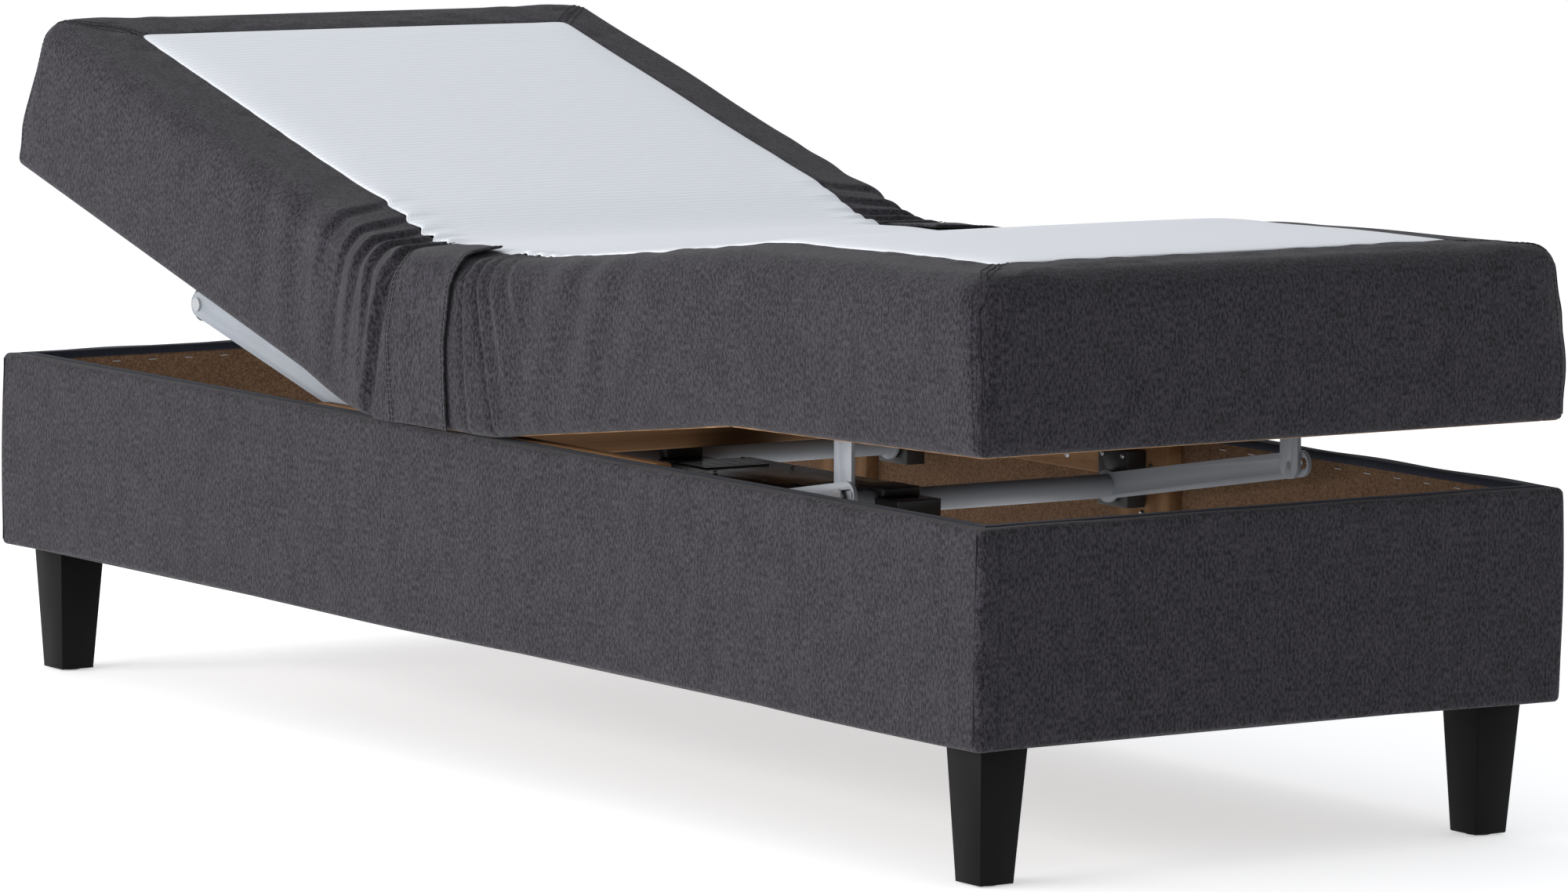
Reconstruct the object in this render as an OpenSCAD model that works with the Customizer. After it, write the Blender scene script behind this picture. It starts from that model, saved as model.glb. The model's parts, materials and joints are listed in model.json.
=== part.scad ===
// Adjustable single bed base: an upholstered box on four legs, carrying a
// mattress body in four sections (back, seat, thigh, calf) on pine frames.
// A twin drive turns two torsion tubes. Their arms raise the back through
// rollers, and the thigh and calf through two brackets.
// Frame: +Z up, +Y towards the head end, X across. The origin is on the floor
// under the middle of the box. The part is drawn with its sections raised.

/* [Overall] */
// Width over the upholstery
bed_w = 800; // [700:10:1200]
// Length over the upholstery
bed_l = 2000; // [1900:10:2200]
// Height of a leg with its glide
leg_h = 152; // [100:1:220]
// Height of the upholstered box
box_h = 235.5; // [200:0.5:300]
// Thickness of the mattress body, frame included
mattress_t = 195; // [150:1:240]

/* [Positions of the sections] */
// Back section above flat, in degrees
back_rest = 16.45; // [5:0.05:40]
// Thigh section above flat, in degrees
thigh_rest = 7.2; // [3:0.1:20]
// Bend at the knee, in degrees
knee_rest = 5.7; // [2:0.1:16]
// Highest back angle above flat, in degrees
back_top_angle = 55; // [40:1:55]
// Highest thigh angle above flat, in degrees
thigh_top_angle = 24; // [15:1:24]

/* [Box] */
// Thickness of the chipboard panels
board_t = 25; // [16:0.5:28]
// Thickness of the padded fabric on the box
cover_t = 5; // [2:0.5:8]
// Fabric wrapped over the edges of the panels
wrap_t = 1.5; // [1:0.1:3]
// Radius of the box's upright corners
box_corner_r = 12; // [6:1:20]
// Side of a square corner block
corner_block = 45; // [35:1:60]
// Leg width at its top
leg_top_w = 62; // [50:1:80]
// Leg width at the floor
leg_foot_w = 44; // [30:1:60]
// Centre of a leg from the box's long face
leg_inset_x = 60; // [50:1:90]
// Centre of a leg from the box's end face
leg_inset_y = 64; // [50:1:90]
// Thickness of the plastic glide
glide_t = 2; // [1:0.5:6]
// Diameter of the leg bolt
bolt_d = 8; // [6:1:12]

/* [Sections] */
// Back hinge from the middle of the bed, towards the head
back_hinge_y = 182; // [150:1:220]
// Thigh hinge from the middle of the bed, towards the head
thigh_hinge_y = -70; // [-110:1:-40]
// Thigh hinge to knee hinge
thigh_l = 468; // [400:1:520]
// Hinge axes above the underside of the sections
hinge_rise = 9; // [8:0.5:12]
// Height of the pine rails
rail_h = 45; // [35:1:60]
// Thickness of the pine rails
rail_t = 22; // [18:1:28]
// Thickness of the side fabric
side_t = 6; // [3:0.5:10]
// Thickness of the quilted top
top_t = 10; // [6:0.5:20]
// Width of the fabric border round the quilted top
border_w = 88; // [60:1:120]
// Radius of the mattress's long top edges
edge_r = 26; // [15:1:40]

/* [Hinges] */
// Thickness of a hinge plate
plate_t = 5; // [3:0.5:8]
// Length of a hinge plate from its pin
plate_l = 95; // [70:1:130]
// Diameter of a hinge pin
pin_d = 8; // [6:0.5:10]
// Running clearance of a pin or shaft, on the radius
run_gap = 0.05; // [0.02:0.01:0.1]
// Gap between plates that slide past each other
side_gap = 0.3; // [0.2:0.1:1]

/* [Lifting gear] */
// Torsion tube diameter
tube_d = 28; // [24:1:34]
// Stub shaft diameter in the bearings
stub_d = 20; // [14:1:22]
// Head tube from the middle of the bed
head_tube_y = 135; // [120:1:150]
// Head tube above the floor
head_tube_z = 325; // [315:1:330]
// Foot tube from the middle of the bed
foot_tube_y = -293; // [-310:1:-280]
// Foot tube above the floor
foot_tube_z = 319; // [312:1:325]
// Lift arm thickness
arm_t = 5; // [4:0.5:8]
// Lift arm depth
arm_h = 30; // [24:1:36]
// Inner faces of the lift arms from the bed's centre line
arm_x = 312.3; // [290:0.1:330]
// Roller centre from the back hinge, along the back
roller_reach = 498; // [440:1:540]
// Roller centre below the underside of the back
roller_drop = 63; // [55:1:75]
// Roller diameter
roller_d = 40; // [30:1:44]
// Roller width
roller_w = 24; // [16:1:30]
// Roller bolt diameter
roller_bolt_d = 10; // [8:0.5:14]
// Bracket pin from the knee hinge, along the calf
bracket_reach = 95.6; // [80:0.1:120]
// Bracket pin below the underside of the calf
bracket_drop = 72.2; // [60:0.1:80]
// Bracket width
bracket_w = 32; // [24:1:40]
// Bracket pin diameter
bracket_pin_d = 8; // [6:0.5:12]
// Lift arm turn for each degree of the back
back_arm_ratio = 0.85; // [0.84:0.005:0.87]
// Lift arm turn for each degree of the thigh
foot_arm_ratio = 1.36; // [1.34:0.005:1.38]
// Knee turn for each degree of the thigh
knee_ratio = 0.86; // [0.79:0.01:0.9]

/* [Drive] */
// Width of the drive's hooked ends
hook_w = 60; // [50:1:80]
// Width of the drive's body
drive_w = 150; // [120:1:190]
// Drive beyond each tube
hook_over = 60; // [45:1:70]
// Top of the drive below the foot tube's top
drive_step = 6; // [4:1:10]
// Height of the drive
drive_h = 98; // [90:1:120]
// Wall of the drive's shells
shell_t = 3; // [2:0.5:5]
// Lever length, tube axis to tip centre
lever_l = 50; // [44:1:52]
// Radius of a lever's tip
lever_r = 8; // [6:0.5:10]
// Spindle diameter
spindle_d = 16; // [12:1:20]

/* [Hidden] */
$fn = 64;
eps = 0.01;

box_z0 = leg_h;
box_z1 = leg_h + box_h;
board_x = bed_w / 2 - cover_t;
board_y = bed_l / 2 - cover_t;
inner_x = board_x - board_t;
inner_y = board_y - board_t;
panel_z0 = box_z0 + wrap_t;
panel_z1 = box_z1 - wrap_t;
leg_x = bed_w / 2 - leg_inset_x;
leg_y = bed_l / 2 - leg_inset_y;

lift_gap = 2.5;                         // underside of the flat sections over the box
bed_z = box_z1 + lift_gap;
hinge_z = bed_z + hinge_rise;
top_z = bed_z + mattress_t;
knee_y = thigh_hinge_y - thigh_l;
rail_x = bed_w / 2 - side_t;            // outer faces of the side rails
plate_x = rail_x - rail_t;              // inner faces of the side rails
core_z0 = bed_z + rail_h;
core_z1 = top_z - top_t;

bearer_t = 22;
bearer_z0 = bed_z - 64;
bearer_z1 = bed_z - 1;
bearer_x = inner_x - bearer_t;          // inner faces of the bearers
bearer_y0 = foot_tube_y - 68;
bearer_y1 = head_tube_y + 200;
post_w = 105;
post_t = 18;

// Faces at the hinges lean away from each other by these angles. The knee
// closes below its pins, so there its faces lean the other way.
seat_lean_back = 15;
back_lean = back_top_angle - seat_lean_back + 2;
seat_lean_leg = 8;
thigh_lean = thigh_top_angle - seat_lean_leg + 2;
knee_lean = 0.6;
knee_under = (knee_rest + knee_ratio * (thigh_top_angle - thigh_rest)) / 2 + 1;
face_gap = 1;
// Each face: place, lean above the hinge, lean below it.
back_face = [back_hinge_y + face_gap, back_lean, 0];
seat_back_face = [back_hinge_y - face_gap, -seat_lean_back, 0];
seat_leg_face = [thigh_hinge_y + face_gap, seat_lean_leg, 0];
lap_face = [thigh_hinge_y - face_gap, -thigh_lean, 0];
knee_face = [knee_y + face_gap, knee_lean, -knee_under];
calf_face = [knee_y - face_gap, -knee_lean, knee_under];
head_face = [bed_l / 2, 0, 0];
foot_face = [-bed_l / 2, 0, 0];
fold_gap = 0.2;
joint_gap = 0.1;                        // between timbers that are screwed together

// Linkage at rest, in the Y-Z plane.
calf_rest = thigh_rest - knee_rest;
function turn(p, a) = [p[0] * cos(a) - p[1] * sin(a), p[0] * sin(a) + p[1] * cos(a)];
head_tube = [head_tube_y, head_tube_z];
foot_tube = [foot_tube_y, foot_tube_z];
back_hinge = [back_hinge_y, hinge_z];
thigh_hinge = [thigh_hinge_y, hinge_z];
roller_in_back = [roller_reach, -roller_drop - hinge_rise];
roller_at = back_hinge + turn(roller_in_back, back_rest);
back_arm = roller_at - head_tube;
back_arm_l = norm(back_arm);
back_arm_a = atan2(back_arm[1], back_arm[0]);
knee_at = thigh_hinge + turn([-thigh_l, 0], -thigh_rest);
pin_in_calf = [-bracket_reach, -bracket_drop - hinge_rise];
pin_at = knee_at + turn(pin_in_calf, -calf_rest);
foot_arm = pin_at - foot_tube;
foot_arm_l = norm(foot_arm);
foot_arm_a = atan2(foot_arm[1], -foot_arm[0]);

// How far the bracket pin stands from the foot tube with the thigh at angle a.
function calf_angle(a) = a - knee_rest - knee_ratio * (a - thigh_rest);
function pin_place(a) = thigh_hinge + turn([-thigh_l, 0], -a) + turn(pin_in_calf, -calf_angle(a));
function pin_span(a) = norm(pin_place(a) - foot_tube);
slot_in = pin_span(0) - foot_arm_l - 1;
slot_out = pin_span(thigh_top_angle) - foot_arm_l + 1;
slot_r = bracket_pin_d / 2 + 2.4;

// Roller centre in the back's own frame, with the back at angle a.
function roller_path(a) = let(arm = back_arm_a + back_arm_ratio * (a - back_rest))
    turn(head_tube + back_arm_l * [cos(arm), sin(arm)] - back_hinge, -a);
function path_normal(a) = let(d = roller_path(a + 0.5) - roller_path(a - 0.5)) [-d[1], d[0]] / norm(d);
function shoe_point(a) = roller_path(a) - (roller_d / 2 + side_gap) * path_normal(a);
shoe_steps = 12;
shoe_from = -2;
shoe_to = min(back_top_angle, 46);      // beyond this the roller stays on the nose
shoe_line = [for (i = [0:shoe_steps]) shoe_point(shoe_from + (shoe_to - shoe_from) * i / shoe_steps)];

roller_x1 = arm_x - side_gap;
roller_x0 = roller_x1 - roller_w;
bracket_x1 = arm_x - side_gap;

drive_z1 = foot_tube_z + tube_d / 2 - drive_step;
drive_z0 = drive_z1 - drive_h;
drive_y0 = foot_tube_y - hook_over;
drive_y1 = head_tube_y + hook_over;
body_y0 = foot_tube_y + 48;
body_y1 = head_tube_y - 52;
split_z = drive_z0 + drive_h * 0.62;
tube_slot_r = tube_d / 2 + 0.5;
spindle_z = foot_tube_z - lever_l - 3;
lever_x = 16;
lever_t = 8;
lever_stem = 4;                         // half the width of a lever above its tip
back_arm_travel = back_arm_ratio * back_top_angle;
foot_arm_travel = foot_arm_ratio * thigh_top_angle;
head_lever_a = back_arm_ratio * back_rest - back_arm_travel / 2;
foot_lever_a = foot_arm_ratio * thigh_rest - foot_arm_travel / 2;
slider_l = 26;
slider_gap = 0.3;
motor_d = 52;
motor_l = 120;
motor_gap = 2;
motor_x = drive_w / 2 - shell_t - motor_gap - motor_d / 2;
drive_mid = (head_tube_y + foot_tube_y) / 2;
head_slider_y = head_tube_y + lever_l * sin(head_lever_a) - lever_r - slider_gap;
foot_slider_y = foot_tube_y - lever_l * sin(foot_lever_a) + lever_r + slider_gap;

charcoal = [0.20, 0.19, 0.21];
chipboard = [0.55, 0.40, 0.26];
pine = [0.80, 0.62, 0.40];
white_knit = [0.86, 0.88, 0.92];
grey_paint = [0.70, 0.72, 0.75];

// ---- helpers ----

module box_between(a, b) { translate(a) cube(b - a); }
module both_sides() { children(); mirror([1, 0, 0]) children(); }
module four_corners() { both_sides() { children(); mirror([0, 1, 0]) children(); } }
module along_x(x0, x1, at, d) {
    translate([x0, at[0], at[1]]) rotate([0, 90, 0]) cylinder(d = d, h = x1 - x0);
}
// A Y-Z outline as a slab between two X planes.
module slab(x0, x1) {
    translate([x0, 0, 0]) rotate([90, 0, 90]) linear_extrude(x1 - x0) children();
}
module about(p, a) {
    translate([0, p[0], p[1]]) rotate([a, 0, 0]) translate([0, -p[0], -p[1]]) children();
}
module in_back() { about(back_hinge, back_rest) children(); }
module in_thigh() { about(thigh_hinge, -thigh_rest) children(); }
module in_calf() { in_thigh() about([knee_y, hinge_z], knee_rest) children(); }

// Outline of one section drawn flat, from its foot face to its head face.
// An outline stops g short of the bed's end and runs past its hinge by over.
function face_y(f, z) = f[0] + (z - hinge_z) * tan(z > hinge_z ? f[1] : f[2]);
function shift(f, y) = f + [y, 0, 0];
module section_outline(f0, f1, z0, z1) {
    zs = z0 < hinge_z && z1 > hinge_z ? [z0, hinge_z, z1] : [z0, z1];
    n = len(zs) - 1;
    polygon(concat([for (z = zs) [face_y(f1, z), z]], [for (i = [n:-1:0]) [face_y(f0, zs[i]), zs[i]]]));
}
module back_outline(z0, z1, g = 0, over = 0) {
    section_outline(shift(back_face, -over), shift(head_face, -g), z0, z1);
}
module seat_outline(z0, z1, over = 0) {
    section_outline(shift(seat_leg_face, -over), shift(seat_back_face, over), z0, z1);
}
module thigh_outline(z0, z1, over = 0) {
    section_outline(shift(knee_face, -over), shift(lap_face, over), z0, z1);
}
module calf_outline(z0, z1, g = 0, over = 0) {
    section_outline(shift(foot_face, g), shift(calf_face, over), z0, z1);
}

// Cross-section of the mattress in the X-Z plane, shrunk by g at the sides.
module mattress_section(g, z0, z1) {
    x = bed_w / 2 - g;
    r = edge_r - g;
    translate([-x, z0]) square([2 * x, z1 - z0 - r]);
    translate([-x + r, z1 - r - eps]) square([2 * (x - r), r + eps]);
    for (s = [-1, 1]) translate([s * (x - r), z1 - r]) circle(r);
}
module mattress_bar(g, z0, z1) {
    translate([0, bed_l, 0]) rotate([90, 0, 0]) linear_extrude(2 * bed_l) mattress_section(g, z0, z1);
}
module section_core() {
    intersection() {
        mattress_bar(side_t, core_z0, core_z1);
        slab(-bed_w, bed_w) children();
    }
}
// Fabric of a section: children are its outer and its inner outline.
module section_cover() {
    difference() {
        intersection() {
            mattress_bar(0, bed_z, top_z);
            slab(-bed_w, bed_w) children(0);
        }
        intersection() {
            mattress_bar(side_t, bed_z - 1, core_z1);
            slab(-bed_w, bed_w) children(1);
        }
        slab(border_w - bed_w / 2, bed_w / 2 - border_w) children(2);
    }
}
module section_top() {
    slab(border_w - bed_w / 2 + side_gap, bed_w / 2 - border_w - side_gap) children();
}
// Side rails of a frame, cut by its outline, and cross rails at given places.
module frame_rails(places) {
    both_sides() intersection() {
        box_between([plate_x, -bed_l, bed_z], [rail_x, bed_l, core_z0]);
        slab(0, bed_w) children();
    }
    for (y = places)
        box_between([joint_gap - plate_x, y, bed_z], [plate_x - joint_gap, y + rail_t, core_z0]);
}

// ---- box ----

module panel_pair_side(x0, x1) {
    box_between([x0, -board_y, panel_z0], [x1, board_y, panel_z1]);
}
module left_panel() { color(chipboard) panel_pair_side(-board_x, -inner_x); }
module right_panel() { color(chipboard) panel_pair_side(inner_x, board_x); }
module end_panel() { box_between([-inner_x, inner_y, panel_z0], [inner_x, board_y, panel_z1]); }
module head_panel() { color(chipboard) end_panel(); }
module foot_panel() { color(chipboard) mirror([0, 1, 0]) end_panel(); }

module rounded_plan(x, y, r) {
    square([2 * x, 2 * (y - r)], center = true);
    square([2 * (x - r), 2 * y], center = true);
    for (a = [-1, 1], b = [-1, 1]) translate([a * (x - r), b * (y - r)]) circle(r);
}
module base_cover() {
    color(charcoal) difference() {
        translate([0, 0, box_z0]) linear_extrude(box_h) rounded_plan(bed_w / 2, bed_l / 2, box_corner_r);
        box_between([-board_x, -board_y, panel_z0], [board_x, board_y, panel_z1]);
        box_between([-inner_x, -inner_y, 0], [inner_x, inner_y, 2 * box_z1]);
    }
}
module corner_blocks() {
    color(pine) four_corners() difference() {
        box_between([inner_x - corner_block, inner_y - corner_block, box_z0], [inner_x, inner_y, bearer_z0]);
        translate([leg_x, leg_y, 0]) cylinder(d = bolt_d + 0.2, h = box_z0 + 80);
    }
}
module leg_shape() {
    t = leg_top_w / 2;
    f = leg_foot_w / 2;
    h = leg_h - glide_t;
    module side() { polygon([[-f, 0], [f, 0], [t, h], [-t, h]]); }
    translate([leg_x, leg_y, glide_t]) difference() {
        intersection() {
            rotate([90, 0, 0]) linear_extrude(leg_top_w, center = true) side();
            rotate([90, 0, 90]) linear_extrude(leg_top_w, center = true) side();
        }
        translate([0, 0, h - 50]) cylinder(d = bolt_d + 0.2, h = 60);
    }
}
module leg_head_left() { color("black") mirror([1, 0, 0]) leg_shape(); }
module leg_head_right() { color("black") leg_shape(); }
module leg_foot_left() { color("black") mirror([1, 0, 0]) mirror([0, 1, 0]) leg_shape(); }
module leg_foot_right() { color("black") mirror([0, 1, 0]) leg_shape(); }
module leg_bolts() {
    color("silver") four_corners() translate([leg_x, leg_y, leg_h - 49]) cylinder(d = bolt_d, h = 120);
}
module leg_glides() { color("black") four_corners() translate([leg_x, leg_y, 0]) cylinder(r = 14, h = glide_t); }

module bearers() {
    color(pine) both_sides() box_between([bearer_x, bearer_y0, bearer_z0], [inner_x, bearer_y1, bearer_z1]);
}
module bearer_posts() {
    color(pine) both_sides() for (y = [bearer_y0, bearer_y1 - post_w])
        box_between([inner_x - post_t, y, panel_z0], [inner_x, y + post_w, bearer_z0]);
}
module tube_bearing(at) {
    difference() {
        box_between([arm_x + arm_t + 4, at[0] - 28, at[1] - 24], [bearer_x, at[0] + 28, at[1] + 42]);
        along_x(arm_x, bearer_x + 1, at, stub_d + 2 * run_gap);
    }
}
module tube_bearings() {
    color([0.13, 0.13, 0.14]) both_sides() {
        tube_bearing(head_tube);
        tube_bearing(foot_tube);
    }
}

// ---- sections ----

// Notched over the bearers, its ends against the hinge plates.
module seat_cross_rail(y) {
    low = bearer_x - joint_gap;
    high = plate_x - plate_t - joint_gap;
    box_between([-low, y, bed_z - 36], [low, y + rail_t, bearer_z1]);
    box_between([-high, y, bearer_z1], [high, y + rail_t, core_z0]);
}
module seat_frame() {
    color(pine) {
        frame_rails([]) seat_outline(bed_z, core_z0);
        for (y = [thigh_hinge_y + 70, head_tube_y - 31 - rail_t]) seat_cross_rail(y);
    }
}
module seat_core() { color("khaki") section_core() seat_outline(core_z0, core_z1); }
module seat_cover() {
    color(charcoal) section_cover() {
        seat_outline(bed_z, top_z);
        seat_outline(bed_z - 1, core_z1, face_gap);
        seat_outline(core_z1 - 1, top_z + 1, face_gap);
    }
}
module seat_top() { color(white_knit) section_top() seat_outline(core_z1, top_z); }

module back_frame() {
    color(pine) in_back() frame_rails([
        back_hinge_y + roller_reach - 85, back_hinge_y + roller_reach + 40, bed_l / 2 - side_t - rail_t
    ]) back_outline(bed_z, core_z0, side_t);
}
module back_core() { color("khaki") in_back() section_core() back_outline(core_z0, core_z1, side_t); }
module back_cover() {
    color(charcoal) in_back() section_cover() {
        back_outline(bed_z, top_z);
        back_outline(bed_z - 1, core_z1, side_t, face_gap);
        back_outline(core_z1 - 1, top_z + 1, border_w, face_gap);
    }
}
module back_top() { color(white_knit) in_back() section_top() back_outline(core_z1, top_z, border_w + side_gap); }

module thigh_frame() {
    color(pine) in_thigh() frame_rails([knee_y + 110, thigh_hinge_y - 130]) thigh_outline(bed_z, core_z0);
}
module thigh_core() { color("khaki") in_thigh() section_core() thigh_outline(core_z0, core_z1); }
module thigh_cover() {
    color(charcoal) in_thigh() section_cover() {
        thigh_outline(bed_z, top_z);
        thigh_outline(bed_z - 1, core_z1, face_gap);
        thigh_outline(core_z1 - 1, top_z + 1, face_gap);
    }
}
module thigh_top() { color(white_knit) in_thigh() section_top() thigh_outline(core_z1, top_z); }

module calf_frame() {
    color(pine) in_calf() frame_rails([
        knee_y - bracket_reach - bracket_w / 2 - rail_t, knee_y - bracket_reach + bracket_w / 2,
        -bed_l / 2 + side_t
    ]) calf_outline(bed_z, core_z0, side_t);
}
module calf_core() { color("khaki") in_calf() section_core() calf_outline(core_z0, core_z1, side_t); }
module calf_cover() {
    color(charcoal) in_calf() section_cover() {
        calf_outline(bed_z, top_z);
        calf_outline(bed_z - 1, core_z1, side_t, face_gap);
        calf_outline(core_z1 - 1, top_z + 1, border_w, face_gap);
    }
}
module calf_top() { color(white_knit) in_calf() section_top() calf_outline(core_z1, top_z, border_w + side_gap); }

// Soft wedges between the leaning faces of neighbouring sections: h is the
// hinge with the bed flat, at is where it stands, and each side is turned.
function fold_point(h, at, f, z, a) = at + turn([face_y(f, z), z] - h, a);
module fold(h, at, f0, f1, turn0, turn1) {
    color("khaki") slab(-rail_x, rail_x) polygon([
        fold_point(h, at, shift(f0, fold_gap), core_z0, turn0),
        fold_point(h, at, shift(f1, -fold_gap), core_z0, turn1),
        fold_point(h, at, shift(f1, -fold_gap), core_z1, turn1),
        fold_point(h, at, shift(f0, fold_gap), core_z1, turn0)
    ]);
}
module back_fold() { fold(back_hinge, back_hinge, seat_back_face, back_face, 0, back_rest); }
module lap_fold() { fold(thigh_hinge, thigh_hinge, lap_face, seat_leg_face, -thigh_rest, 0); }
module knee_fold() { fold([knee_y, hinge_z], knee_at, calf_face, knee_face, -calf_rest, -thigh_rest); }

// ---- hinges: the fixed leaf lies on the side rail, the other inside it ----

module leaf(h, dir, x0, x1, l) {
    box_between([x0, h[0] + (dir < 0 ? -l : 0), h[1] - hinge_rise],
        [x1, h[0] + (dir < 0 ? 0 : l), h[1] + hinge_rise]);
    along_x(x0, x1, h, 2 * hinge_rise);
}
outer_leaf = [plate_x - plate_t, plate_x];
inner_leaf = [plate_x - 2 * plate_t - side_gap, plate_x - plate_t - side_gap];
module fixed_leaf(h, dir) {
    both_sides() difference() {
        leaf(h, dir, outer_leaf[0], outer_leaf[1], plate_l);
        along_x(0, bed_w, h, pin_d + 0.1);
    }
}
// The moving leaf is packed out to its own rail, clear of the fixed leaf.
module moving_leaf(h, dir, l = plate_l) {
    clear = hinge_rise + 14;
    both_sides() difference() {
        union() {
            leaf(h, dir, inner_leaf[0], inner_leaf[1], l);
            box_between([inner_leaf[0], h[0] + (dir < 0 ? -l : clear), h[1] - hinge_rise],
                [plate_x, h[0] + (dir < 0 ? -clear : l), h[1] + hinge_rise]);
        }
        along_x(0, bed_w, h, pin_d + 2 * run_gap);
    }
}
module hinge_pin(h) {
    both_sides() {
        along_x(inner_leaf[0] - 1, outer_leaf[1], h, pin_d);
        along_x(inner_leaf[0] - 4, inner_leaf[0] - 1, h, pin_d + 6);
    }
}
module seat_hinge_plates() {
    color("silver") {
        fixed_leaf(back_hinge, -1);
        fixed_leaf(thigh_hinge, 1);
    }
}
module seat_hinge_pins() {
    color("gray") {
        hinge_pin(back_hinge);
        hinge_pin(thigh_hinge);
    }
}
module back_hinge_plates() { color("silver") in_back() moving_leaf(back_hinge, 1); }
module thigh_hinge_plates() {
    color("silver") in_thigh() {
        moving_leaf(thigh_hinge, -1);
        fixed_leaf([knee_y, hinge_z], 1);
    }
}
module knee_pins() { color("gray") in_thigh() hinge_pin([knee_y, hinge_z]); }
module calf_hinge_plates() {
    color("silver") in_calf() moving_leaf([knee_y, hinge_z], -1, bracket_reach - bracket_w / 2 - rail_t - 4);
}

// ---- lifting gear ----

// A flat bar from the tube's axis to the far end, round at both ends.
module arm_bar(at, a, l, x0, x1) {
    translate([0, at[0], at[1]]) rotate([a, 0, 0]) {
        box_between([x0, 0, -arm_h / 2], [x1, l, arm_h / 2]);
        along_x(x0, x1, [0, 0], arm_h + 8);
        along_x(x0, x1, [l, 0], arm_h);
    }
}
module torsion_tube(at, lever_a) {
    color(grey_paint) {
        along_x(-arm_x, arm_x, at, tube_d);
        both_sides() along_x(0, bearer_x - 1, at, stub_d);
        both_sides() translate([0, at[0], at[1]]) rotate([lever_a, 0, 0]) {
            box_between([lever_x - lever_t / 2, -lever_stem, -lever_l], [lever_x + lever_t / 2, lever_stem, 0]);
            along_x(lever_x - lever_t / 2, lever_x + lever_t / 2, [0, -lever_l], 2 * lever_r);
        }
    }
}
module back_torsion_tube() { torsion_tube(head_tube, head_lever_a); }
module foot_torsion_tube() { torsion_tube(foot_tube, -foot_lever_a); }
module back_lift_arms() {
    color(grey_paint) both_sides() difference() {
        arm_bar(head_tube, back_arm_a, back_arm_l, arm_x, arm_x + arm_t);
        along_x(0, bed_w, head_tube, stub_d + 0.1);
        along_x(0, bed_w, roller_at, roller_bolt_d + 0.1);
    }
}
module foot_lift_arms() {
    color(grey_paint) both_sides() difference() {
        mirror([0, 1, 0]) arm_bar([-foot_tube[0], foot_tube[1]], foot_arm_a, foot_arm_l + slot_out - 6,
            arm_x, arm_x + arm_t);
        along_x(0, bed_w, foot_tube, stub_d + 0.1);
        translate([0, foot_tube[0], foot_tube[1]]) rotate([-foot_arm_a, 0, 0]) {
            box_between([0, -foot_arm_l - slot_out, -slot_r], [bed_w, -foot_arm_l - slot_in, slot_r]);
            for (s = [slot_in, slot_out]) along_x(0, bed_w, [-foot_arm_l - s, 0], 2 * slot_r);
        }
    }
}
module roller() {
    color("black") difference() {
        along_x(roller_x0, roller_x1, roller_at, roller_d);
        along_x(roller_x0 - 1, roller_x1 + 1, roller_at, roller_bolt_d + 2 * run_gap);
    }
}
module left_roller() { mirror([1, 0, 0]) roller(); }
module right_roller() { roller(); }
module roller_bolts() {
    color("silver") both_sides() {
        along_x(roller_x0 - side_gap, arm_x + arm_t, roller_at, roller_bolt_d);
        along_x(roller_x0 - side_gap - 4, roller_x0 - side_gap, roller_at, roller_bolt_d + 6);
        along_x(arm_x + arm_t, arm_x + arm_t + 3, roller_at, roller_bolt_d + 6);
    }
}
// Curved shoes under the back, shaped by the roller's path.
module back_runners() {
    tail = shoe_line[0];
    nose = shoe_line[shoe_steps];
    color("dimgray") in_back() both_sides() translate([0, back_hinge[0], back_hinge[1]])
        slab(roller_x0, roller_x1) polygon(concat(
            [[tail[0] + 8, -hinge_rise], [tail[0] + 8, tail[1] + 4]], shoe_line,
            [[nose[0] - 40, nose[1] + 4], [nose[0] - 70, -hinge_rise]]
        ));
}
module calf_brackets() {
    p = [knee_y, hinge_z] + pin_in_calf;
    color(grey_paint) in_calf() both_sides() difference() {
        union() {
            box_between([bracket_x1 - arm_t, p[0] - bracket_w / 2, p[1]],
                [bracket_x1, p[0] + bracket_w / 2, core_z0]);
            along_x(bracket_x1 - arm_t, bracket_x1, p, bracket_w);
        }
        along_x(0, bed_w, p, bracket_pin_d + 0.1);
    }
}
module bracket_pins() {
    color("gray") both_sides() {
        along_x(bracket_x1 - arm_t, arm_x + arm_t + side_gap, pin_at, bracket_pin_d);
        along_x(arm_x + arm_t + side_gap, arm_x + arm_t + 3, pin_at, 2 * slot_r + 4);
    }
}

// ---- drive ----

module drive_block(g, z0, z1) {
    box_between([-hook_w / 2 + g, drive_y0 + g, z0], [hook_w / 2 - g, drive_y1 - g, z1]);
    box_between([-drive_w / 2 + g, body_y0 + g, z0], [drive_w / 2 - g, body_y1 - g, z1]);
}
module tube_notch(at) {
    along_x(-drive_w, drive_w, at, 2 * tube_slot_r);
    box_between([-drive_w, at[0] - tube_slot_r, at[1]], [drive_w, at[0] + tube_slot_r, drive_z1 + 50]);
}
module drive_lower_shell() {
    color([0.07, 0.07, 0.08]) difference() {
        drive_block(0, drive_z0, split_z);
        drive_block(shell_t, drive_z0 + shell_t, split_z + 1);
        tube_notch(head_tube);
        tube_notch(foot_tube);
    }
}
module drive_upper_shell() {
    color([0.07, 0.07, 0.08]) difference() {
        drive_block(0, split_z, drive_z1);
        drive_block(shell_t, split_z - 1, drive_z1 - shell_t);
        tube_notch(head_tube);
        tube_notch(foot_tube);
    }
}
module end_clip(at) {
    difference() {
        box_between([-hook_w / 2 + 4, at[0] - 26, drive_z1], [hook_w / 2 - 4, at[0] + 26, at[1] + tube_d / 2 + 5]);
        along_x(-drive_w, drive_w, at, 2 * tube_slot_r);
    }
}
module drive_end_clips() {
    color("black") {
        end_clip(head_tube);
        end_clip(foot_tube);
    }
}
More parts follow.
